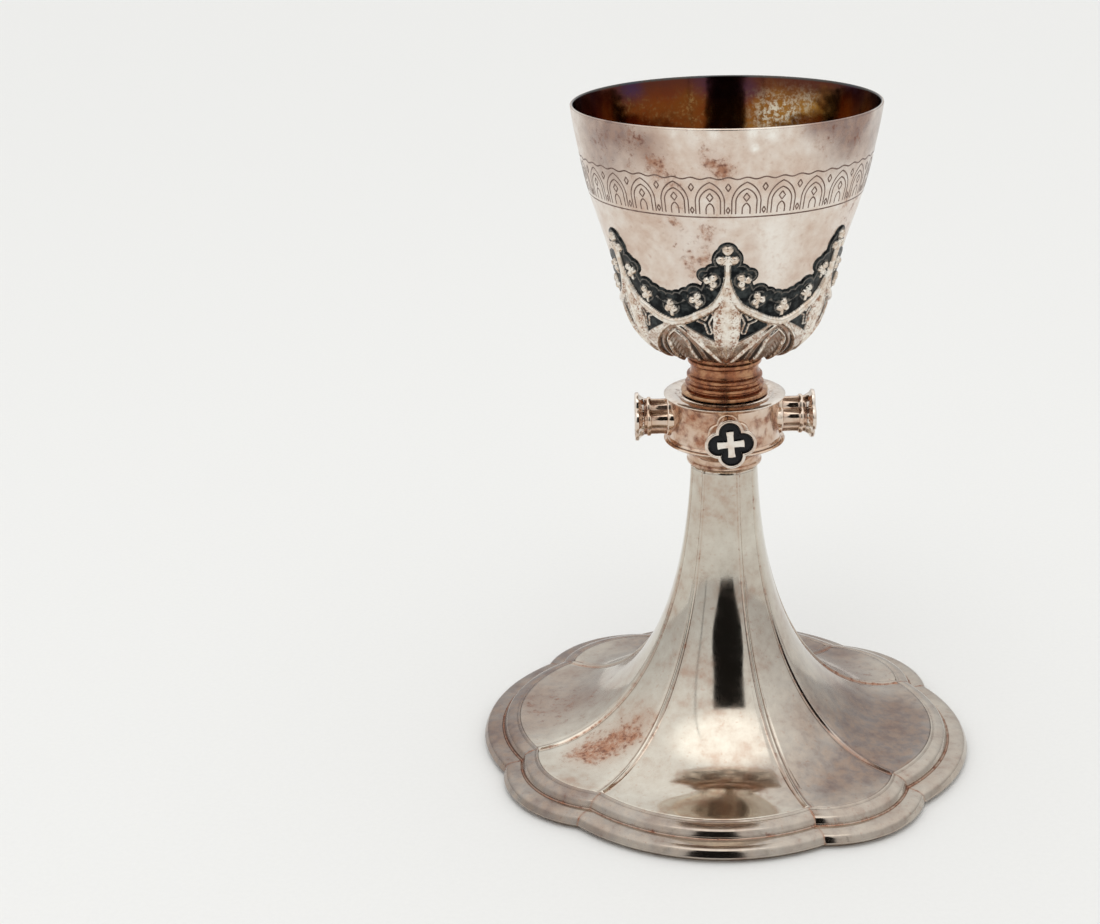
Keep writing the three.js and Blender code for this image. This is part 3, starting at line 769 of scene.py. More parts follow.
def bowl_profile():
    """The cup's outline up the outside, over the lip and down the inside, and where it turns."""
    outside = cup.copy()
    inside = moved_out(cup, -BOWL_WALL)[::-1]
    inside = inside[inside[:, 1] < lip_height - BOWL_WALL / 2]
    outside = outside[outside[:, 1] < lip_height - BOWL_WALL / 2]
    outside[0, 0] = AXIS_HOLE
    inside[-1, 0] = AXIS_HOLE
    middle = (outside[-1] + inside[0]) / 2
    lip = []
    for turn in np.linspace(0, pi, LIP_STEPS + 2)[1:-1]:
        lip.append(middle + BOWL_WALL / 2 * np.array([cos(turn), sin(turn)]))
    return np.concatenate([outside, lip, inside]), len(outside) + LIP_STEPS // 2


def unevenness(azimuth, height):
    """How far the bowl stands proud of a true turned shape, in millimetres. It fades at the lip."""
    wave = 0.05 * np.sin(np.radians(3 * azimuth + 40))
    wave = wave + 0.035 * np.sin(np.radians(7 * azimuth) + height / 9)
    return wave * np.clip((lip_height - height) / LIP_FADE, 0, 1)


profile, turned_over = bowl_profile()
grid, azimuth = spun(profile, BOWL_COLUMNS)
height = profile[:, 1:]
swell = unevenness(azimuth, height) * (profile[:, :1] > TRUE_MIDDLE)
grid[..., :2] *= (1 + swell / np.maximum(profile[:, :1], TRUE_MIDDLE))[..., None]
outside_rows = (np.arange(len(profile)) < turned_over)[:, None]
# brown and dusk carry the stains, and also painted shade just under the lip
brown = cup_stain(azimuth, height, BROWN_AND_LIP_SHADE_SPOTS, rim_radius) * outside_rows
dusk = cup_stain(azimuth, height, DUSK_AND_LIP_SHADE_SPOTS, rim_radius) * outside_rows
rubbed = cup_stain(azimuth, height, RUBBED_SPOTS, rim_radius) * outside_rows
rubbed = np.clip(rubbed * RUBBED_STRENGTH, 0, 1)
rubbed += cup_stain(azimuth, height, WORN_SPOTS, rim_radius) * (1 - outside_rows)
marks = {"brown": brown, "dusk": dusk, "rubbed": rubbed}
bowl = skin("bowl_cup", grid, bowl_silver, loop=False, marks=marks)
bowl.data.materials.append(old_gilding)
face_rows = np.repeat(np.arange(len(profile) - 1), BOWL_COLUMNS)
bowl.data.polygons.foreach_set("material_index", (face_rows >= turned_over).astype(np.int32))
stands_for(bowl, "bowl_silver", "bowl")

# %% [markdown]
# ## The engraved band
# Round the bowl, a little above the calyx, runs a band cut with a graver: fine bright-edged
# lines with dark in the cut. Here the band is an arcade of pointed arches with a lozenge in
# each, an ornament and nothing to read. Each line is a narrow ribbon with two burrs and a
# valley, laid on the silver, so that the light finds real edges.

# %% Engraved band
BAND_UNITS = 26
BAND_FOOT = 181.2
BAND_HEAD = 190.4
CUT_WIDTH = 0.42
CUT_SECTION = [(-0.5, 0.008), (-0.3, 0.04), (0, 0.012), (0.3, 0.04), (0.5, 0.008)]
unit = 360 / BAND_UNITS
cup_z = cup[:, 1]
print("units of the band:", BAND_UNITS)

# %% A cut line


def cup_radius(z):
    return np.interp(z, cup_z, cup[:, 0])


def ribbon(line):
    """Grid of one cut line, given as (share of a unit, share of the height) points."""
    line = np.array(line, float)
    z = BAND_FOOT + line[:, 1] * (BAND_HEAD - BAND_FOOT)
    x = line[:, 0] * np.radians(unit) * rim_radius
    along = np.gradient(np.stack([x, z], 1), axis=0)
    along /= np.linalg.norm(along, axis=1)[:, None] + 1e-9
    rows = []
    for side, proud in CUT_SECTION:
        across = x - along[:, 1] * side * CUT_WIDTH
        up = z + along[:, 0] * side * CUT_WIDTH
        rows.append(np.stack([np.degrees(across / rim_radius), up, np.full(len(x), proud)], 1))
    return np.array(rows)


print("points across a cut:", len(CUT_SECTION))

# %% Arches and lozenges


def arch(left, right, foot, spring, head, steps=9):
    """A pointed arch, from its left foot over the point to its right foot."""
    middle = (left + right) / 2
    half = (right - left) / 2
    left_side = [(left, foot), (left, (foot + spring) / 2)]
    for t in np.linspace(0, 1, steps):
        bow = t + 0.55 * t * (1 - t)  # how far up, ahead of how far in
        left_side.append((left + half * t**1.5, spring + (head - spring) * bow))
    right_side = [(2 * middle - x, y) for x, y in reversed(left_side)]
    return left_side + right_side[1:]


def lozenge(x, y, wide, tall):
    corners = [(x, y + tall), (x + wide, y), (x, y - tall), (x - wide, y), (x, y + tall)]
    points = []
    for start, end in zip(corners[:-1], corners[1:]):
        for t in np.arange(4) / 4:
            points.append((start[0] + (end[0] - start[0]) * t, start[1] + (end[1] - start[1]) * t))
    return points + [corners[-1]]


motif = [
    arch(-0.40, 0.40, 0.0, 0.42, 1.0),
    arch(-0.29, 0.29, 0.0, 0.42, 0.80),
    arch(-0.11, 0.11, 0.0, 0.16, 0.34),
    lozenge(0, 0.53, 0.09, 0.13),
    lozenge(0.5, 0.84, 0.07, 0.12),
    lozenge(0.5, 0.12, 0.05, 0.10),
    [(x, -0.10) for x in np.linspace(-0.5, 0.5, 14)],
    [(x, 1.12 + 0.03 * cos(4 * pi * x)) for x in np.linspace(-0.5, 0.5, 20)],
]
print("lines in a unit:", len(motif))

# %% Band laid on the bowl


def laid(rows):
    """Puts a grid of (azimuth, height, proud) points on the bowl."""
    turn = np.radians(rows[..., 0])
    r = cup_radius(rows[..., 1]) + unevenness(rows[..., 0], rows[..., 1]) + rows[..., 2]
    return np.stack([r * np.sin(turn), -r * np.cos(turn), rows[..., 1]], -1)


def engraving():
    """Every cut line of the band, joined into one mesh."""
    joined = bmesh.new()
    for k in range(BAND_UNITS):
        for line in motif:
            rows = ribbon(line)
            rows[..., 0] += k * unit
            points = laid(rows) * MM
            knots = [[joined.verts.new(p) for p in row] for row in points]
            for lower, upper in zip(knots[:-1], knots[1:]):
                for i in range(len(lower) - 1):
                    joined.faces.new((lower[i], lower[i + 1], upper[i + 1], upper[i]))
    mesh = bpy.data.meshes.new("bowl_engraving")
    joined.to_mesh(mesh)
    joined.free()
    mesh.shade_smooth()
    mesh.materials.append(engraved_line)
    return placed("bowl_engraving", mesh)


stands_for(engraving(), "bowl_silver")

# %% [markdown]
# ## The calyx
# The calyx is cast and chased: a thin cup that holds the bowl and carries six pointed arches,
# each with a finial, side buds on a black ground, and a spear-shaped panel below. Such relief
# is a height above the cup at each point, so it is made as a field: the distance from every
# point to a few drawn lines, turned into ribs, balls and hollows, then six times round.

# %% Calyx coordinates
CALYX_STEP = 0.26  # size of a face, in millimetres
CALYX_TURN = 7.0  # degrees from the front to the nearest finial
CALYX_TOP = 175.0
CALYX_BORE = 8.5
CALYX_MIDDLE = 33  # its radius where most of the drawing lies
ARCHES = 6
ARCH_TURN = 360 / ARCHES
halves = 2 * ARCHES
calyx_columns = halves * int(2 * pi * CALYX_MIDDLE / CALYX_STEP / halves)
fine_cup = smooth_line([(r * rim_radius, bowl_bottom + z * bowl_depth) for r, z in CUP_OUTLINE], 60)
lengths = np.concatenate([[0], np.cumsum(np.linalg.norm(np.diff(fine_cup, axis=0), axis=1))])
first = np.interp(CALYX_BORE, fine_cup[:, 0], lengths)
last = np.interp(CALYX_TOP, fine_cup[:, 1], lengths)
reach = np.arange(first, last, CALYX_STEP)[:, None]
cup_r = np.interp(reach, lengths, fine_cup[:, 0])
cup_h = np.interp(reach, lengths, fine_cup[:, 1])
azimuth = np.linspace(0, 360, calyx_columns, endpoint=False)[None, :]
# degrees from the nearest finial
folded = np.abs((azimuth - CALYX_TURN + ARCH_TURN / 2) % ARCH_TURN - ARCH_TURN / 2)
print("calyx grid:", len(reach), "by", calyx_columns)

# %% Distances on the cup


def from_point(at, level):
    """Distance in millimetres from each point of the cup to one point."""
    across = np.radians(folded - at) * cup_r
    up = reach - np.interp(level, fine_cup[:, 1], lengths)
    return np.hypot(across, up)


def from_line(points, steps=6):
    """Distance to a smooth line of (degrees, height) points."""
    line = smooth_line(points, steps)
    spread = np.interp(line[:, 1], fine_cup[:, 1], lengths)
    best = np.full((len(reach), calyx_columns), 1e9)
    for i in range(len(line) - 1):
        ax = np.radians(line[i, 0] - folded) * cup_r
        bx = np.radians(line[i + 1, 0] - folded) * cup_r
        ay = spread[i] - reach
        by = spread[i + 1] - reach
        dx, dy = bx - ax, by - ay
        t = np.clip(-(ax * dx + ay * dy) / (dx**2 + dy**2 + 1e-9), 0, 1)
        best = np.minimum(best, np.hypot(ax + t * dx, ay + t * dy))
    return best


def height_of(points, steps=8):
    """Height of a line at each azimuth, for telling above from below."""
    line = smooth_line(points, steps)
    order = np.argsort(line[:, 0])
    return np.interp(folded, line[order, 0], line[order, 1])


def rise(value, low, high):
    """Smooth step from 0 at low to 1 at high."""
    t = np.clip((value - low) / (high - low), 0, 1)
    return t * t * (3 - 2 * t)


def round_rib(distance, half, base, high):
    """Height of a rounded rib at a distance from its line, and -1 beside it."""
    bow = np.sqrt(np.clip(1 - (distance / half) ** 2, 0, 1))
    return np.where(distance < half, base + high * bow, -1.0)


print("height of a rib at its middle:", round_rib(0.0, half=1.0, base=0.3, high=1.2))

# %% Lines of the calyx
CROSSING = (30, 147)  # degrees from the tip of an arch and height, where two arches meet
OGEE = [(0, 167.5), (0, 163.5), (0.5, 160), (3, 156), (7.5, 152.5), (15, 150), (22.5, 148), CROSSING]
DIAGONAL = [CROSSING, (23, 144.5), (15.5, 140.5), (8, 136), (3.5, 133), (0, 132.5)]
INNER_ARCH = [(30, 144.5), (26.5, 143), (23.5, 141), (23, 138.5), (22, 135.5), (21.5, 133)]
OUTER_BAND = [(30, 146), (25, 144), (20, 141), (17, 138), (15.5, 135), (14, 132.5)]
GROUND_DISCS = [
    (0, 170, 3),
    (0, 167.5, 4.5),
    (6, 163.5, 3),
    (10.5, 162.5, 2.5),
    (16, 157, 3),
    (21, 156, 2.5),
    (25.5, 155, 2.5),
    (30, 154.5, 2.5),
]
BUDS = [(7.5, 161, 35), (15.5, 155, 20), (30, 152, 0)]
SPEAR = (147, 12.5, 3.5)  # middle height, half length, half width
FIGURE_HEART = (11, 147.5)
FIGURE_TIPS = [(8.5, 150), (15.5, 148.5), (9.5, 144.5)]
ARM_HALF = 0.65
BAND_WIDTH = 6.6  # of the black ground above the ogee
FAR = 9.0  # stands for far inside, in millimetres

band = from_line(OGEE[2:])
ogee = from_line(OGEE, 10)
ground_edge = BAND_WIDTH - band
for at, level, size in GROUND_DISCS:
    ground_edge = np.maximum(ground_edge, size - from_point(at, level))
above_ogee = cup_h - height_of(OGEE[2:])
upper = above_ogee > 0
inside = np.where(upper, ground_edge, FAR)
print("calyx ground discs:", len(GROUND_DISCS), "buds to an arch:", 2 * len(BUDS) - 1)

# %% Relief of the calyx
BED = 0.42  # how far the ground stands out from the bowl, in millimetres like the rest
LINE_PROUD = 0.14
PLAIN_FIELD = 0.45
PLAIN_DOME = 0.3
DOME_REACH = 3
SPANDREL_BED = 0.12
FIGURE_LINE = 0.24
ARCH_BED = 0.10
ARCH_FILL = 0.2
HATCH_DEPTH = 0.09
HATCH_STEP = 1.2
SPEAR_RIDGE = 0.95
across = np.radians(folded) * cup_r
field = np.full(inside.shape, BED)
ground = np.where(upper, 1.0, 0.0)
recess = np.full(inside.shape, 0.35)
stain = np.full(inside.shape, 0.25)


def raise_to(height):
    """Lifts the field where the new shape stands higher, and takes the black ground off it."""
    lifted = height > field + 0.02
    field[lifted] = height[lifted]
    ground[lifted] = 0.0
    recess[lifted] = np.clip(0.42 - (height[lifted] - BED) * 0.9, 0, 1)


print("relief starts at", BED, "mm")

# %% Lines on the black ground
# one thin line on the ground follows its upper edge, and another runs round each bud
LINE_DEPTH = 0.8  # from the edge of the ground
BUD_RING = 2.5
LINE_HALF = 0.3
wave = np.abs(inside - LINE_DEPTH)
for at, level, lean in BUDS:
    ring = np.abs(from_point(at, level) - BUD_RING)
    wave = np.minimum(wave, np.where(inside > 2 * LINE_DEPTH, ring, FAR))
field = np.where(upper & (wave < LINE_HALF), field + LINE_PROUD * (1 - wave / LINE_HALF), field)
ground = np.where(upper & (wave < 0.17), 0.8, ground)

print("points of black ground:", int((upper & (inside > 0)).sum()))

# %% Plain fields and spandrels
# plain silver fields below the ogee, softly domed
over_diagonal = cup_h - height_of(DIAGONAL)
diagonal = from_line(DIAGONAL, 10)
dome = np.clip(diagonal / DOME_REACH, 0, 1) * PLAIN_DOME
field = np.where(~upper, PLAIN_FIELD + dome, field)
stain = np.where(~upper, 0.75, stain)
recess = np.where(~upper, 0.4, recess)

# dark spandrels beside the spear, each with the outline of a figure with three arms
middle, half_length, half_width = SPEAR
spear_half = half_width * np.clip(1 - ((cup_h - middle) / half_length) ** 2, 0, 1) ** 0.85
spandrel_foot = 141.6 + np.clip((folded - 7) / 17, 0, 1) * 4.6
spandrel = ~upper & (across > spear_half + 0.3) & (cup_h > spandrel_foot) & (ogee > 1.0) & (folded < 23)
field[spandrel] = SPANDREL_BED
ground[spandrel] = 1.0
figure = np.full(inside.shape, -FAR)
for tip in FIGURE_TIPS:
    figure = np.maximum(figure, ARM_HALF - from_line([FIGURE_HEART, tip]))
raise_to(np.where(spandrel, round_rib(np.abs(figure), half=FIGURE_LINE, base=0.15, high=0.4), -1))

print("points in the spandrels:", int((spandrel > 0).sum()))

# %% Nested arches
# nested arches under each crossing
under = ~upper & (over_diagonal < 0)
field[under] = ARCH_BED
ground[under] = 0.8
inner = from_line(INNER_ARCH)
heights_inward = [133.0, 135.6, 138.4, 141.0, 143.2, 144.7]
inner_side = np.interp(cup_h, heights_inward, [21.4, 22.2, 22.8, 23.6, 26.3, 30])
beyond = under & (folded > inner_side) & (cup_h < 144.7)
hatching = HATCH_DEPTH * np.sin((across - reach) * 2 * pi / HATCH_STEP)
field = np.where(beyond, ARCH_FILL + hatching, field)
ground[beyond] = 0.15
raise_to(np.where(under, round_rib(from_line(OUTER_BAND), half=0.75, base=0.15, high=0.5), -1))
recess[under] = 0.62
raise_to(np.where(under, round_rib(inner, half=0.42, base=0.3, high=0.75), -1))

print("points under the diagonals:", int((under > 0).sum()))

# %% Spear and ribs
# spear with a ridge down its middle and a raised border
share = np.clip(across / np.maximum(spear_half, 0.01), 0, 2)
spear = ~upper & (share < 1)
field = np.where(spear, PLAIN_FIELD + SPEAR_RIDGE * (1 - share) ** 0.9, field)
ground[spear] = 0.0
recess[spear] = (0.1 + 0.3 * share)[spear]
stain[spear] = (0.4 + 0.5 * rise(share, 0.1, 0.6))[spear]
border = np.abs(across - spear_half)
raise_to(np.where(~upper & (cup_h < 159), round_rib(border, half=0.4, base=0.4, high=0.42), -1))

# ribs
rib_half = np.interp(cup_h, [147, 152, 160, 167], [1.2, 1.2, 0.95, 0.75])
raise_to(round_rib(ogee / rib_half, half=1.0, base=0.3, high=1.2))
raise_to(np.where(~upper, round_rib(diagonal, half=0.55, base=0.3, high=0.85), -1))
print("highest relief, mm:", round(float(field.max()), 2))

# %% Buds and finials
BALL = 1.02
BALL_SPREAD = 1.2
for at, level, lean in BUDS:
    stalk = from_line([(at, level - 0.6), (at * 0.99, level - 2.6)])
    raise_to(round_rib(stalk, half=0.42, base=BED, high=0.5))
    raise_to(round_rib(from_point(at, level), half=0.7, base=BED, high=0.8))
    for turn in (0, 120, 240):
        heading = radians(lean + turn)
        centre = at - np.degrees(sin(heading) * BALL_SPREAD / 34)
        ball = from_point(centre, level + cos(heading) * BALL_SPREAD)
        dimple = 0.6 * np.exp(-((ball / 0.3) ** 2))
        raise_to(round_rib(ball, BALL, BED, 1.15) - dimple)

FINIAL = [(3, 167.5, 1.25), (0, 170.5, 1.5), (0, 168, 1)]
raise_to(round_rib(from_line([(0, 166.5), (3, 166.5)]), half=0.5, base=BED, high=0.7))
for at, level, size in FINIAL:
    ball = from_point(at, level)
    raise_to(round_rib(ball, size, BED, 1.3) - 0.6 * np.exp(-((ball / (0.36 * size)) ** 2)))

print("highest relief with buds, mm:", round(float(field.max()), 2))

# %% Calyx mesh
# the black ground ends in a rounded edge, and beyond it nothing is kept
edge = rise(inside, -0.25, 0.30)
field = np.where(upper, field * edge - 0.35 * (1 - edge), field)
keep = inside > -0.3
normal = np.gradient(np.concatenate([cup_r, cup_h], 1), axis=0)
normal /= np.linalg.norm(normal, axis=1)[:, None]
r = cup_r + normal[:, 1:] * field
z = cup_h - normal[:, :1] * field
turn = np.radians(azimuth)
grid = np.stack([r * np.sin(turn), -r * np.cos(turn), np.broadcast_to(z, r.shape)], -1)
marks = {"ground": ground, "recess": recess, "brown": stain}
calyx = skin("calyx_relief", grid, chased_silver, loop=False, marks=marks, keep=keep)
stands_for(calyx, "chased_silver", "calyx")

# %% [markdown]
# ## Neck, knop and collar
# These are turned on a lathe: rings, hollows and a drum between two plates with rolled edges.
# A lathe profile is a closed outline, so each is drawn as corners and then softened. Stain
# gathers in the hollows beside the rings, so its strength follows how far a point lies in.

# %% Turned pieces
TURNED_COLUMNS = 224
HOLLOW_DEPTH = 1.6  # a point this far in from the widest ring is fully a hollow


def turned(name, corners, finish, node, radius, brown):
    """A lathe-turned piece: its corners rounded by a radius and its hollows stained by brown."""
    profile = softened(corners, radius)
    grid, azimuth = spun(profile, TURNED_COLUMNS)
    outermost = profile[:, 0].max()
    sunk = np.clip((outermost - profile[:, :1]) / HOLLOW_DEPTH, 0, 1)
    patch = 0.5 + 0.5 * np.sin(np.radians(azimuth * 2 + 50)) * np.cos(profile[:, 1:] * 0.9)
    marks = {"brown": np.clip(brown * (0.45 + 0.5 * sunk + 0.5 * patch), 0, 1)}
    return stands_for(skin(name, grid, finish, marks=marks), "tarnished_silver", node)


neck_low = lowest("neck_collar")[2]
bore = 7.3
NECK = [
    (bore, 0.0),
    (13.1, 0.0),
    (13.1, 1.1),
    (12.3, 1.4),
    (11.2, 1.6),
    (11.1, 2.0),
    (11.9, 2.2),
    (11.9, 3.3),
    (11.0, 3.5),
    (10.6, 4.1),
    (10.7, 4.6),
    (11.4, 4.8),
    (11.4, 5.9),
    (10.6, 6.1),
    (10.3, 6.8),
    (10.2, 8.2),
    (10.4, 9.2),
    (11.1, 9.5),
    (11.2, 10.7),
    (10.5, 10.9),
    (10.4, 12.0),
    (bore, 12.0),
]
turned("neck", [(r, neck_low + z) for r, z in NECK], neck_silver, "neck_collar", 0.35, 0.8)

# %% Knop plates and drum
top = highest("knop_top_plate")[2]
base = lowest("knop_bottom_plate")[2]
knop_radius = highest("knop_top_plate")[0]
edge = knop_radius - 0.45
TOP_PLATE = [
    (3.4, top - 0.25),
    (13.4, top - 0.15),
    (13.7, top - 0.5),
    (14.3, top - 0.5),
    (14.8, top - 0.15),
    (16.3, top),
    (edge - 0.5, top - 0.1),
    (knop_radius, top - 0.45),
    (edge, top - 0.9),
    (17.3, top - 0.88),
    (3.4, top - 0.88),
]
turned("knop_top", TOP_PLATE, bright_silver, "knop_top_plate", 0.3, 0.3)
BOTTOM_PLATE = [
    (3.4, base + 0.88),
    (17.3, base + 0.88),
    (edge, base + 0.95),
    (knop_radius, base + 0.6),
    (edge + 0.05, base + 0.3),
    (edge - 0.2, base + 0.2),
    (edge - 0.3, base),
    (16.9, base),
    (16.6, base + 0.2),
    (3.4, base + 0.25),
]
turned("knop_bottom", BOTTOM_PLATE, knop_silver, "knop_bottom_plate", 0.22, 0.45)
drum_low, drum_high = lowest("knop_drum")[2] - 0.25, highest("knop_drum")[2] + 0.25
drum_radius = highest("knop_drum")[0]
DRUM = [
    (drum_radius - 1.2, drum_low),
    (drum_radius + 0.7, drum_low),
    (drum_radius + 0.55, drum_low + 0.35),
    (drum_radius + 0.1, drum_low + 0.8),
    (drum_radius, drum_low + 1.6),
    (drum_radius, drum_high - 1.6),
    (drum_radius + 0.1, drum_high - 0.8),
    (drum_radius + 0.55, drum_high - 0.35),
    (drum_radius + 0.7, drum_high),
    (drum_radius - 1.2, drum_high),
]
turned("knop_wall", DRUM, knop_silver, "knop_drum", 0.3, 0.72)

# %% Collar under the knop
collar_low = lowest("lower_collar")[2] - 0.2
COLLAR = [
    (3.4, 0.0),
    (10.8, 0.0),
    (11.4, 0.5),
    (11.5, 1.2),
    (11.0, 1.7),
    (10.9, 3.0),
    (11.6, 4.2),
    (13.2, 5.4),
    (14.0, 5.8),
    (14.0, 6.8),
    (3.4, 6.8),
]
turned("collar", [(r, collar_low + z) for r, z in COLLAR], knop_silver, "lower_collar", 0.5, 0.5)

# %% [markdown]
# ## The bosses
# Four bosses stand out of the knop. Each is a tube whose section is a quatrefoil, four round
# lobes that meet in sharp valleys, ending in a flared bezel that holds a plate of black
# enamel and a small silver cross. A loft suits them: the same outline, wider or narrower, at
# a row of distances from the axis.

# %% Quatrefoil loft
LOBE_POINTS = 15
KNOP_TURN = 10.0
knop_middle = (top + base) / 2
BOSS_SIDES = ["front", "right", "back", "left"]
# degrees that each boss sits turned in its hole
BOSS_TWISTS = [5.0] + [1.5 * sin(i * 2.1) for i in (1, 2, 3)]
BOSS_REACH = 27.2  # from the axis to its face


def quatrefoil(lobe_radius, lobe_offset):
    """Outline of four lobes, as (x, y) points that start at a valley."""
    meet = (lobe_offset + sqrt(2 * lobe_radius**2 - lobe_offset**2)) / 2
    half = np.arctan2(meet, meet - lobe_offset)
    points = []
    for lobe in range(4):
        facing = lobe * pi / 2
        for turn in np.linspace(-half, half, LOBE_POINTS)[:-1]:
            x = lobe_offset * cos(facing) + lobe_radius * cos(facing + turn)
            y = lobe_offset * sin(facing) + lobe_radius * sin(facing + turn)
            points.append((x, y))
    return np.array(points)


def boss_place(local, side, twist):
    """Turns (x across, y up, distance from the axis) into the chalice's frame."""
    turn = radians(KNOP_TURN + 90 * side)
    lean = radians(twist)
    x = local[..., 0] * cos(lean) - local[..., 1] * sin(lean)
    y = local[..., 0] * sin(lean) + local[..., 1] * cos(lean)
    out = local[..., 2]
    east = out * sin(turn) + x * cos(turn)
    north = -out * cos(turn) + x * sin(turn)
    return np.stack([east, north, knop_middle + y], -1)


def lofted(sections):
    """Grid of quatrefoils: (distance, lobe radius, lobe offset) for each section."""
    rows = []
    for distance, lobe_radius, lobe_offset in sections:
        outline = quatrefoil(lobe_radius, lobe_offset)
        rows.append(np.column_stack([outline, np.full(len(outline), distance)]))
    return np.array(rows)


print("boss reach, mm:", BOSS_REACH, "points in an outline:", len(quatrefoil(3.0, 3.0)))

# %% Sections of tube, bezel and enamel
TUBE = [
    (14.8, 2.1, 2.7),
    (14.8, 3.3, 2.85),
    (16.9, 3.3, 2.85),
    (17.3, 3.2, 2.8),
    (17.5, 2.92, 2.7),
    (17.9, 2.86, 2.7),
    (19.5, 2.82, 2.7),
    (22.0, 2.86, 2.7),
    (22.3, 2.95, 2.7),
    (22.4, 3.2, 2.8),
    (22.7, 3.3, 2.85),
    (23.2, 3.3, 2.85),
    (23.5, 3.2, 2.8),
    (23.6, 2.95, 2.75),
    (24.2, 2.95, 2.75),
    (24.5, 3.1, 2.85),
    (24.5, 2.1, 2.7),
]
BEZEL = [
    (24.6, 2.3, 2.7),
    (24.6, 3.15, 2.9),
    (25.0, 3.25, 3.0),
    (25.6, 3.55, 3.2),
    (26.0, 3.95, 3.45),
    (26.15, 4.1, 3.5),
    (26.7, 4.1, 3.5),
    (27.05, 4.02, 3.5),
    (27.2, 3.85, 3.5),
    (27.2, 3.4, 3.5),
    (27.05, 3.2, 3.5),
    (26.6, 3.1, 3.5),
    (25.4, 3.05, 3.5),
    (25.4, 2.3, 2.7),
]
ENAMEL = [
    (25.7, 3.0, 3.5),
    (26.35, 3.0, 3.5),
    (26.4, 2.95, 3.5),
    (26.4, 2.9, 3.5),
    (26.34, 2.86, 3.5),
    (26.2, 2.82, 3.5),
    (26.2, 2.6, 3.5),
    (26.26, 2.56, 3.5),
    (26.3, 2.52, 3.5),
]
print("sections of tube, bezel and enamel:", len(TUBE), len(BEZEL), len(ENAMEL))

# %% Boss tubes and bezels
BEZEL_BROWN = 0.3
VALLEY_ANGLE = 42  # degrees: sharper edges than this aren't smoothed


def sharp_valleys(piece):
    """Keeps the valleys between the lobes crisp."""
    piece.data.set_sharp_from_angle(angle=radians(VALLEY_ANGLE))
    return piece


def capped(piece):
    """Closes the open ends of a loft with flat faces."""
    shaped = bmesh.new()
    shaped.from_mesh(piece.data)
    rims = [e for e in shaped.edges if e.is_boundary]
    bmesh.ops.edgeloop_fill(shaped, edges=rims)
    shaped.to_mesh(piece.data)
    shaped.free()
    return piece


for i, (side, twist) in enumerate(zip(BOSS_SIDES, BOSS_TWISTS)):
    rings = boss_place(lofted(TUBE), i, twist)
    sunk = np.array([0.55 if s[1] < 3.0 else 0.3 for s in TUBE])[:, None]
    tube = sharp_valleys(skin(f"boss_stem_{side}", rings, knop_silver, marks={"brown": sunk}))
    stands_for(tube, "tarnished_silver", f"boss_tube_{side}")
    rings = boss_place(lofted(BEZEL), i, twist)
    bezel = sharp_valleys(skin(f"boss_rim_{side}", rings, bright_silver, marks={"brown": BEZEL_BROWN}))
    stands_for(bezel, "bright_silver", f"boss_bezel_{side}")
    rings = boss_place(lofted(ENAMEL), i, twist)
    field_piece = sharp_valleys(capped(skin(f"boss_field_{side}", rings, black_enamel, loop=False)))
    stands_for(field_piece, "enamel", f"boss_enamel_{side}")

# %% Crosses
CROSS_REACH = 4.0
CROSS_WAIST = 0.92
CROSS_TIP = 1.12
CROSS_BACK = 26.2
CROSS_BEVEL = 0.13


def cross_outline():
    """Four arms that widen a little towards their ends."""
    corners = []
    for arm in range(4):
        facing = arm * pi / 2
        arm_corners = [(CROSS_WAIST, -CROSS_WAIST), (2.6, -0.95), (CROSS_REACH - 0.1, -CROSS_TIP)]
        arm_corners += [(CROSS_REACH, 0), (CROSS_REACH - 0.1, CROSS_TIP), (2.6, 0.95)]
        for x, y in arm_corners:
            corners.append((x * cos(facing) - y * sin(facing), x * sin(facing) + y * cos(facing)))
    return np.array(corners)


for i, (side, twist) in enumerate(zip(BOSS_SIDES, BOSS_TWISTS)):
    outline = cross_outline()
    shaped = bmesh.new()
    places = boss_place(np.column_stack([outline, np.full(len(outline), CROSS_BACK)]), i, twist)
    bottom = shaped.faces.new([shaped.verts.new(p * MM) for p in places])
    out = Vector((sin(radians(KNOP_TURN + 90 * i)), -cos(radians(KNOP_TURN + 90 * i)), 0))
    risen = bmesh.ops.extrude_face_region(shaped, geom=[bottom])
    lifted = [v for v in risen["geom"] if isinstance(v, bmesh.types.BMVert)]
    bmesh.ops.translate(shaped, verts=lifted, vec=out * (BOSS_REACH - CROSS_BACK) * MM)
    bmesh.ops.recalc_face_normals(shaped, faces=shaped.faces)
    mesh = bpy.data.meshes.new(f"boss_sign_{side}")
    shaped.to_mesh(mesh)
    shaped.free()
    mesh.materials.append(bright_silver)
    cross = placed(f"boss_sign_{side}", mesh)
    bevel = cross.modifiers.new("filed_edges", "BEVEL")
    bevel.width = CROSS_BEVEL * MM
    bevel.segments = 3
    stands_for(cross, "bright_silver", f"boss_cross_{side}")

# %% [markdown]
# ## The foot
# The foot is one sheet, raised and then chased into eight panels that start as flats round
# the stem and spread into wide and narrow lobes. Between two panels stands a crease. The
# round profile is spun first and each point is then moved: outwards to its lobe's arc and
# inwards on the flats. Columns crowd towards the creases, where the shape is sharpest.

# %% Lobes
CUSP_RADIUS = 74.2
LOBE_RISE = {True: 3.2, False: 4.1}
WIDE_HALF = 29.4
LOBE_STEP = 45.0
FLATNESS = 0.4
TABLE_DISH = 1.2
RIM_WIDTH = 11.7
RIM_BULGE = 1.8
SHEET = 1.4
SPREAD_SHARE = 0.58  # of the table's radius, where the panels begin to spread into lobes
table_edge = CUSP_RADIUS - RIM_WIDTH
spread_start = SPREAD_SHARE * table_edge
COLUMNS_PER_LOBE = 44


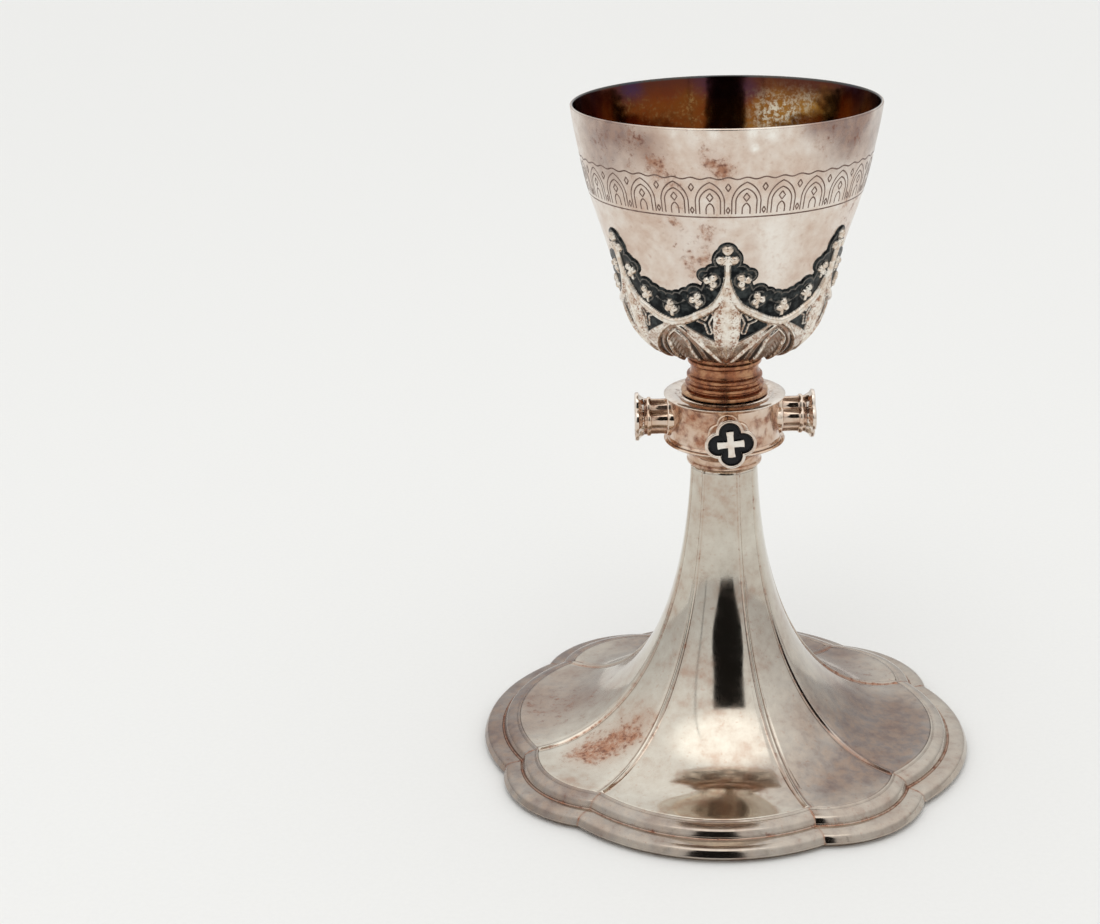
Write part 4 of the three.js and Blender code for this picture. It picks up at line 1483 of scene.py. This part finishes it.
def lobe_reach(wide, across):
    half = radians(WIDE_HALF if wide else LOBE_STEP - WIDE_HALF)
    tip = CUSP_RADIUS + LOBE_RISE[wide]
    centre = (tip**2 - CUSP_RADIUS**2) / (2 * (tip - CUSP_RADIUS * cos(half)))
    angle = across * half
    return centre * np.cos(angle) + np.sqrt((tip - centre) ** 2 - (centre * np.sin(angle)) ** 2)


print("lobe tips, mm:", [round(float(lobe_reach(wide, np.array(0.0))), 1) for wide in (True, False)])

# %% Panels


def lobed(profile):
    """Spreads a round profile into panels and lobes. Returns the grid and the crease distance."""
    r = profile[:, :1]
    z = profile[:, 1:]
    even = np.linspace(-1, 1, COLUMNS_PER_LOBE, endpoint=False)
    across = np.sin(even * pi / 2) * 0.75 + even * 0.25
    spread = rise(r, spread_start, table_edge)
    blocks = []
    creases = []
    turns = []
    for lobe in range(8):
        wide = lobe % 2 == 0
        half = WIDE_HALF if wide else LOBE_STEP - WIDE_HALF
        inside_lobe = 1 - across**2
        flat = r * radians(half) ** 2 / 2 * FLATNESS * inside_lobe * (1 - spread)
        reach_here = r + spread * (lobe_reach(wide, across) - CUSP_RADIUS) - flat
        turn = np.radians(lobe * LOBE_STEP + across * half)
        sink = TABLE_DISH * 4 * spread * (1 - spread) * inside_lobe
        x = reach_here * np.sin(turn)
        y = -reach_here * np.cos(turn)
        blocks.append(np.stack([x, y, z - sink], -1))
        creases.append((1 - np.abs(across)) * radians(half) * reach_here)
        turns.append(np.broadcast_to(lobe * LOBE_STEP + across * half, reach_here.shape))
    return np.concatenate(blocks, 1), np.concatenate(creases, 1), np.concatenate(turns, 1)


def outward(grid):
    """Unit normals of a closed grid, pointing away from the metal."""
    down = np.roll(grid, -1, 0) - np.roll(grid, 1, 0)
    along = np.roll(grid, -1, 1) - np.roll(grid, 1, 1)
    normal = np.cross(along, down)
    return normal / (np.linalg.norm(normal, axis=2)[..., None] + 1e-9)


print("table edge, mm:", round(table_edge, 1))

# %% Foot
foot_top = highest("foot")[2]
rim_top = highest("foot_rim")[2]
stem_radius = 10.7
FOOT_ROWS = 150
TABLE_PULL = (0.552, 0.004)  # shares of the spread and of the rise, for the curve's lower handle
STEM_PULL = (0.052, 0.242)
foot_rise = foot_top - rim_top
foot_spread = table_edge - stem_radius
t = np.linspace(0, 1, FOOT_ROWS)[:, None]
controls = [
    (table_edge, rim_top),
    (stem_radius + TABLE_PULL[0] * foot_spread, rim_top + TABLE_PULL[1] * foot_rise),
    (stem_radius + STEM_PULL[0] * foot_spread, rim_top + STEM_PULL[1] * foot_rise),
    (stem_radius, foot_top),
]
a, b, c, d = (np.array(p) for p in controls)
ridge_line = (1 - t) ** 3 * a + 3 * t * (1 - t) ** 2 * b + 3 * t**2 * (1 - t) * c + t**3 * d
inside_line = moved_out(ridge_line, -SHEET)[::-1]
profile = np.concatenate([ridge_line, inside_line])
grid, crease, _ = lobed(profile)
outside_rows = (np.arange(len(profile)) < FOOT_ROWS)[:, None]
away = profile[:, :1]
crease_height = np.interp(away, [11, 16, 30, 60], [0.18, 0.32, 0.50, 0.42])
crease_half = np.interp(away, [11, 30, 60], [0.3, 0.5, 0.65])
lifted = crease_height * np.exp(-((crease / crease_half) ** 2))
lifted -= 0.55 * crease_height * np.exp(-(((crease - 2.1 * crease_half) / (0.8 * crease_half)) ** 2))
normals = outward(grid)
direction_check = float((normals[FOOT_ROWS // 2] * grid[FOOT_ROWS // 2]).sum())
normals *= 1 if direction_check > 0 else -1
grid = grid + normals * (lifted * outside_rows)[..., None]
print("foot grid:", grid.shape[0], "by", grid.shape[1])

# %% Stains of the foot
# azimuth, distance from the axis, size, strength
FOOT_STAINS = [
    (-46, 48, 5.0, 0.85),
    (-40, 40, 4.0, 0.8),
    (-51, 54, 4.5, 0.5),
    (-88, 55, 13, 0.45),
    (-20, 85, 3, 0.4),
    (130, 45, 12, 0.5),
    (200, 50, 10, 0.5),
]
FOOT_DUSK = [
    (62, 55, 18, 0.85),
    (95, 55, 18, 0.85),
    (35, 58, 9, 0.45),
    (-95, 58, 15, 0.6),
    (-70, 66, 8, 0.4),
    (-150, 60, 16, 0.7),
    (150, 60, 16, 0.8),
]


STAIN_TOP = 70  # the stem above this height has no patches


def foot_stain(spots, x, y, z):
    """Stains placed by azimuth and distance from the axis."""
    total = np.zeros(x.shape)
    for at, distance, size, strength in spots:
        centre_x = distance * sin(radians(at))
        centre_y = -distance * cos(radians(at))
        total += strength * np.exp(-((x - centre_x) ** 2 + (y - centre_y) ** 2) / (2 * size**2))
    return np.clip(total, 0, 1) * (z < STAIN_TOP)


line_stain = np.exp(-(((crease - 1.5 * crease_half) / (0.6 * crease_half)) ** 2))
line_stain *= np.interp(away, [11, 20, 60], [0.4, 0.6, 0.75])
patches = foot_stain(FOOT_STAINS, grid[..., 0], grid[..., 1], grid[..., 2])
brown = np.clip(line_stain + patches, 0, 1) * outside_rows + 0.4 * (1 - outside_rows)
dusk = foot_stain(FOOT_DUSK, grid[..., 0], grid[..., 1], grid[..., 2]) * outside_rows
foot = skin("foot_panels", grid, foot_silver, marks={"brown": brown, "dusk": dusk})
stands_for(foot, "foot_silver", "foot")

# %% Foot rim
rim_bottom = lowest("foot_rim")[2] - 0.2
rim_rise = rim_top - rim_bottom
FOOT_RIM = [
    (0, RIM_BULGE),
    (0.05, 0.2),
    (0.12, 0),
    (0.44, 1.0),
    (0.51, 2.3),
    (0.53, 4.0),
    (0.53, 5.7),
    (0.48, 6.1),
    (0.52, 6.4),
    (0.60, 6.5),
    (0.83, 7.35),
    (0.90, 8.4),
    (0.96, 9.8),
    (0.96, 10.4),
    (0.93, 10.7),
    (1.0, 11.0),
    (1.0, RIM_WIDTH - 0.05),
    (0.72, RIM_WIDTH - 0.05),
    (0.72, RIM_WIDTH + 2.5),
    (0.50, RIM_WIDTH + 2.5),
    (0.43, 8.8),
    (0.0, 7.0),
]  # share of the height, and how far in from the outline
profile = softened([(CUSP_RADIUS - inset, rim_bottom + z * rim_rise) for z, inset in FOOT_RIM], 0.6, 0.4)
grid, crease, turn = lobed(profile)
GROOVE_INSET = 6.1  # from the outline to the groove between the two rolls
GROOVE_HALF = 0.35
NOTCH_HALF = 0.4  # of the dark line where two lobes meet
above_flange = profile[:, 1:] > rim_bottom + 1
groove = np.exp(-(((profile[:, :1] - CUSP_RADIUS + GROOVE_INSET) / GROOVE_HALF) ** 2)) * above_flange
notch = np.exp(-((crease / NOTCH_HALF) ** 2))
brown = np.clip(0.75 * groove + 0.7 * notch + 0.12, 0, 1)
dusk = np.clip(0.6 + 0.3 * np.sin(np.radians(turn + 200)), 0, 1)
foot_rim = skin("foot_moulding", grid, foot_silver, marks={"brown": brown, "dusk": dusk})
stands_for(foot_rim, "foot_silver", "foot_rim")

# %% Base flange
flange_top = highest("base_flange")[2] + 0.2
flange_edge = CUSP_RADIUS - RIM_BULGE
FLANGE_WIDTH = 10
flange_bore = flange_edge - FLANGE_WIDTH
FLANGE = [(flange_bore, 0), (flange_edge, 0), (flange_edge, flange_top), (flange_bore, flange_top)]
grid, _, _ = lobed(softened(FLANGE, 0.25, 0.7))
flange = skin("foot_flange", grid, foot_silver, marks={"brown": 0.4, "dusk": 0.3})
stands_for(flange, "foot_silver", "base_flange")

# %% [markdown]
# ## Hidden fastenings
# A rod runs from a threaded socket under the bowl down to a nut inside the foot and clamps
# everything together. Only someone who turns the chalice over sees its end, so these pieces
# keep the shapes that the CAD model gives them and only get a turned-steel finish.

# %% Rod, nut and plates
STEEL_PIECES = ["tie_rod", "tie_nut", "washer", "stem_plate", "knop_sleeve"]


def refinished(node, finish):
    """Gives a CAD piece a finish of its own. Its shape isn't touched."""
    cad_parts[node].data.materials.clear()
    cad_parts[node].data.materials.append(finish)


for node in STEEL_PIECES:
    refinished(node, turned_steel)
refinished("bowl_socket", knop_silver)
print("fastenings finished:", len(STEEL_PIECES) + 1)

# %% [markdown]
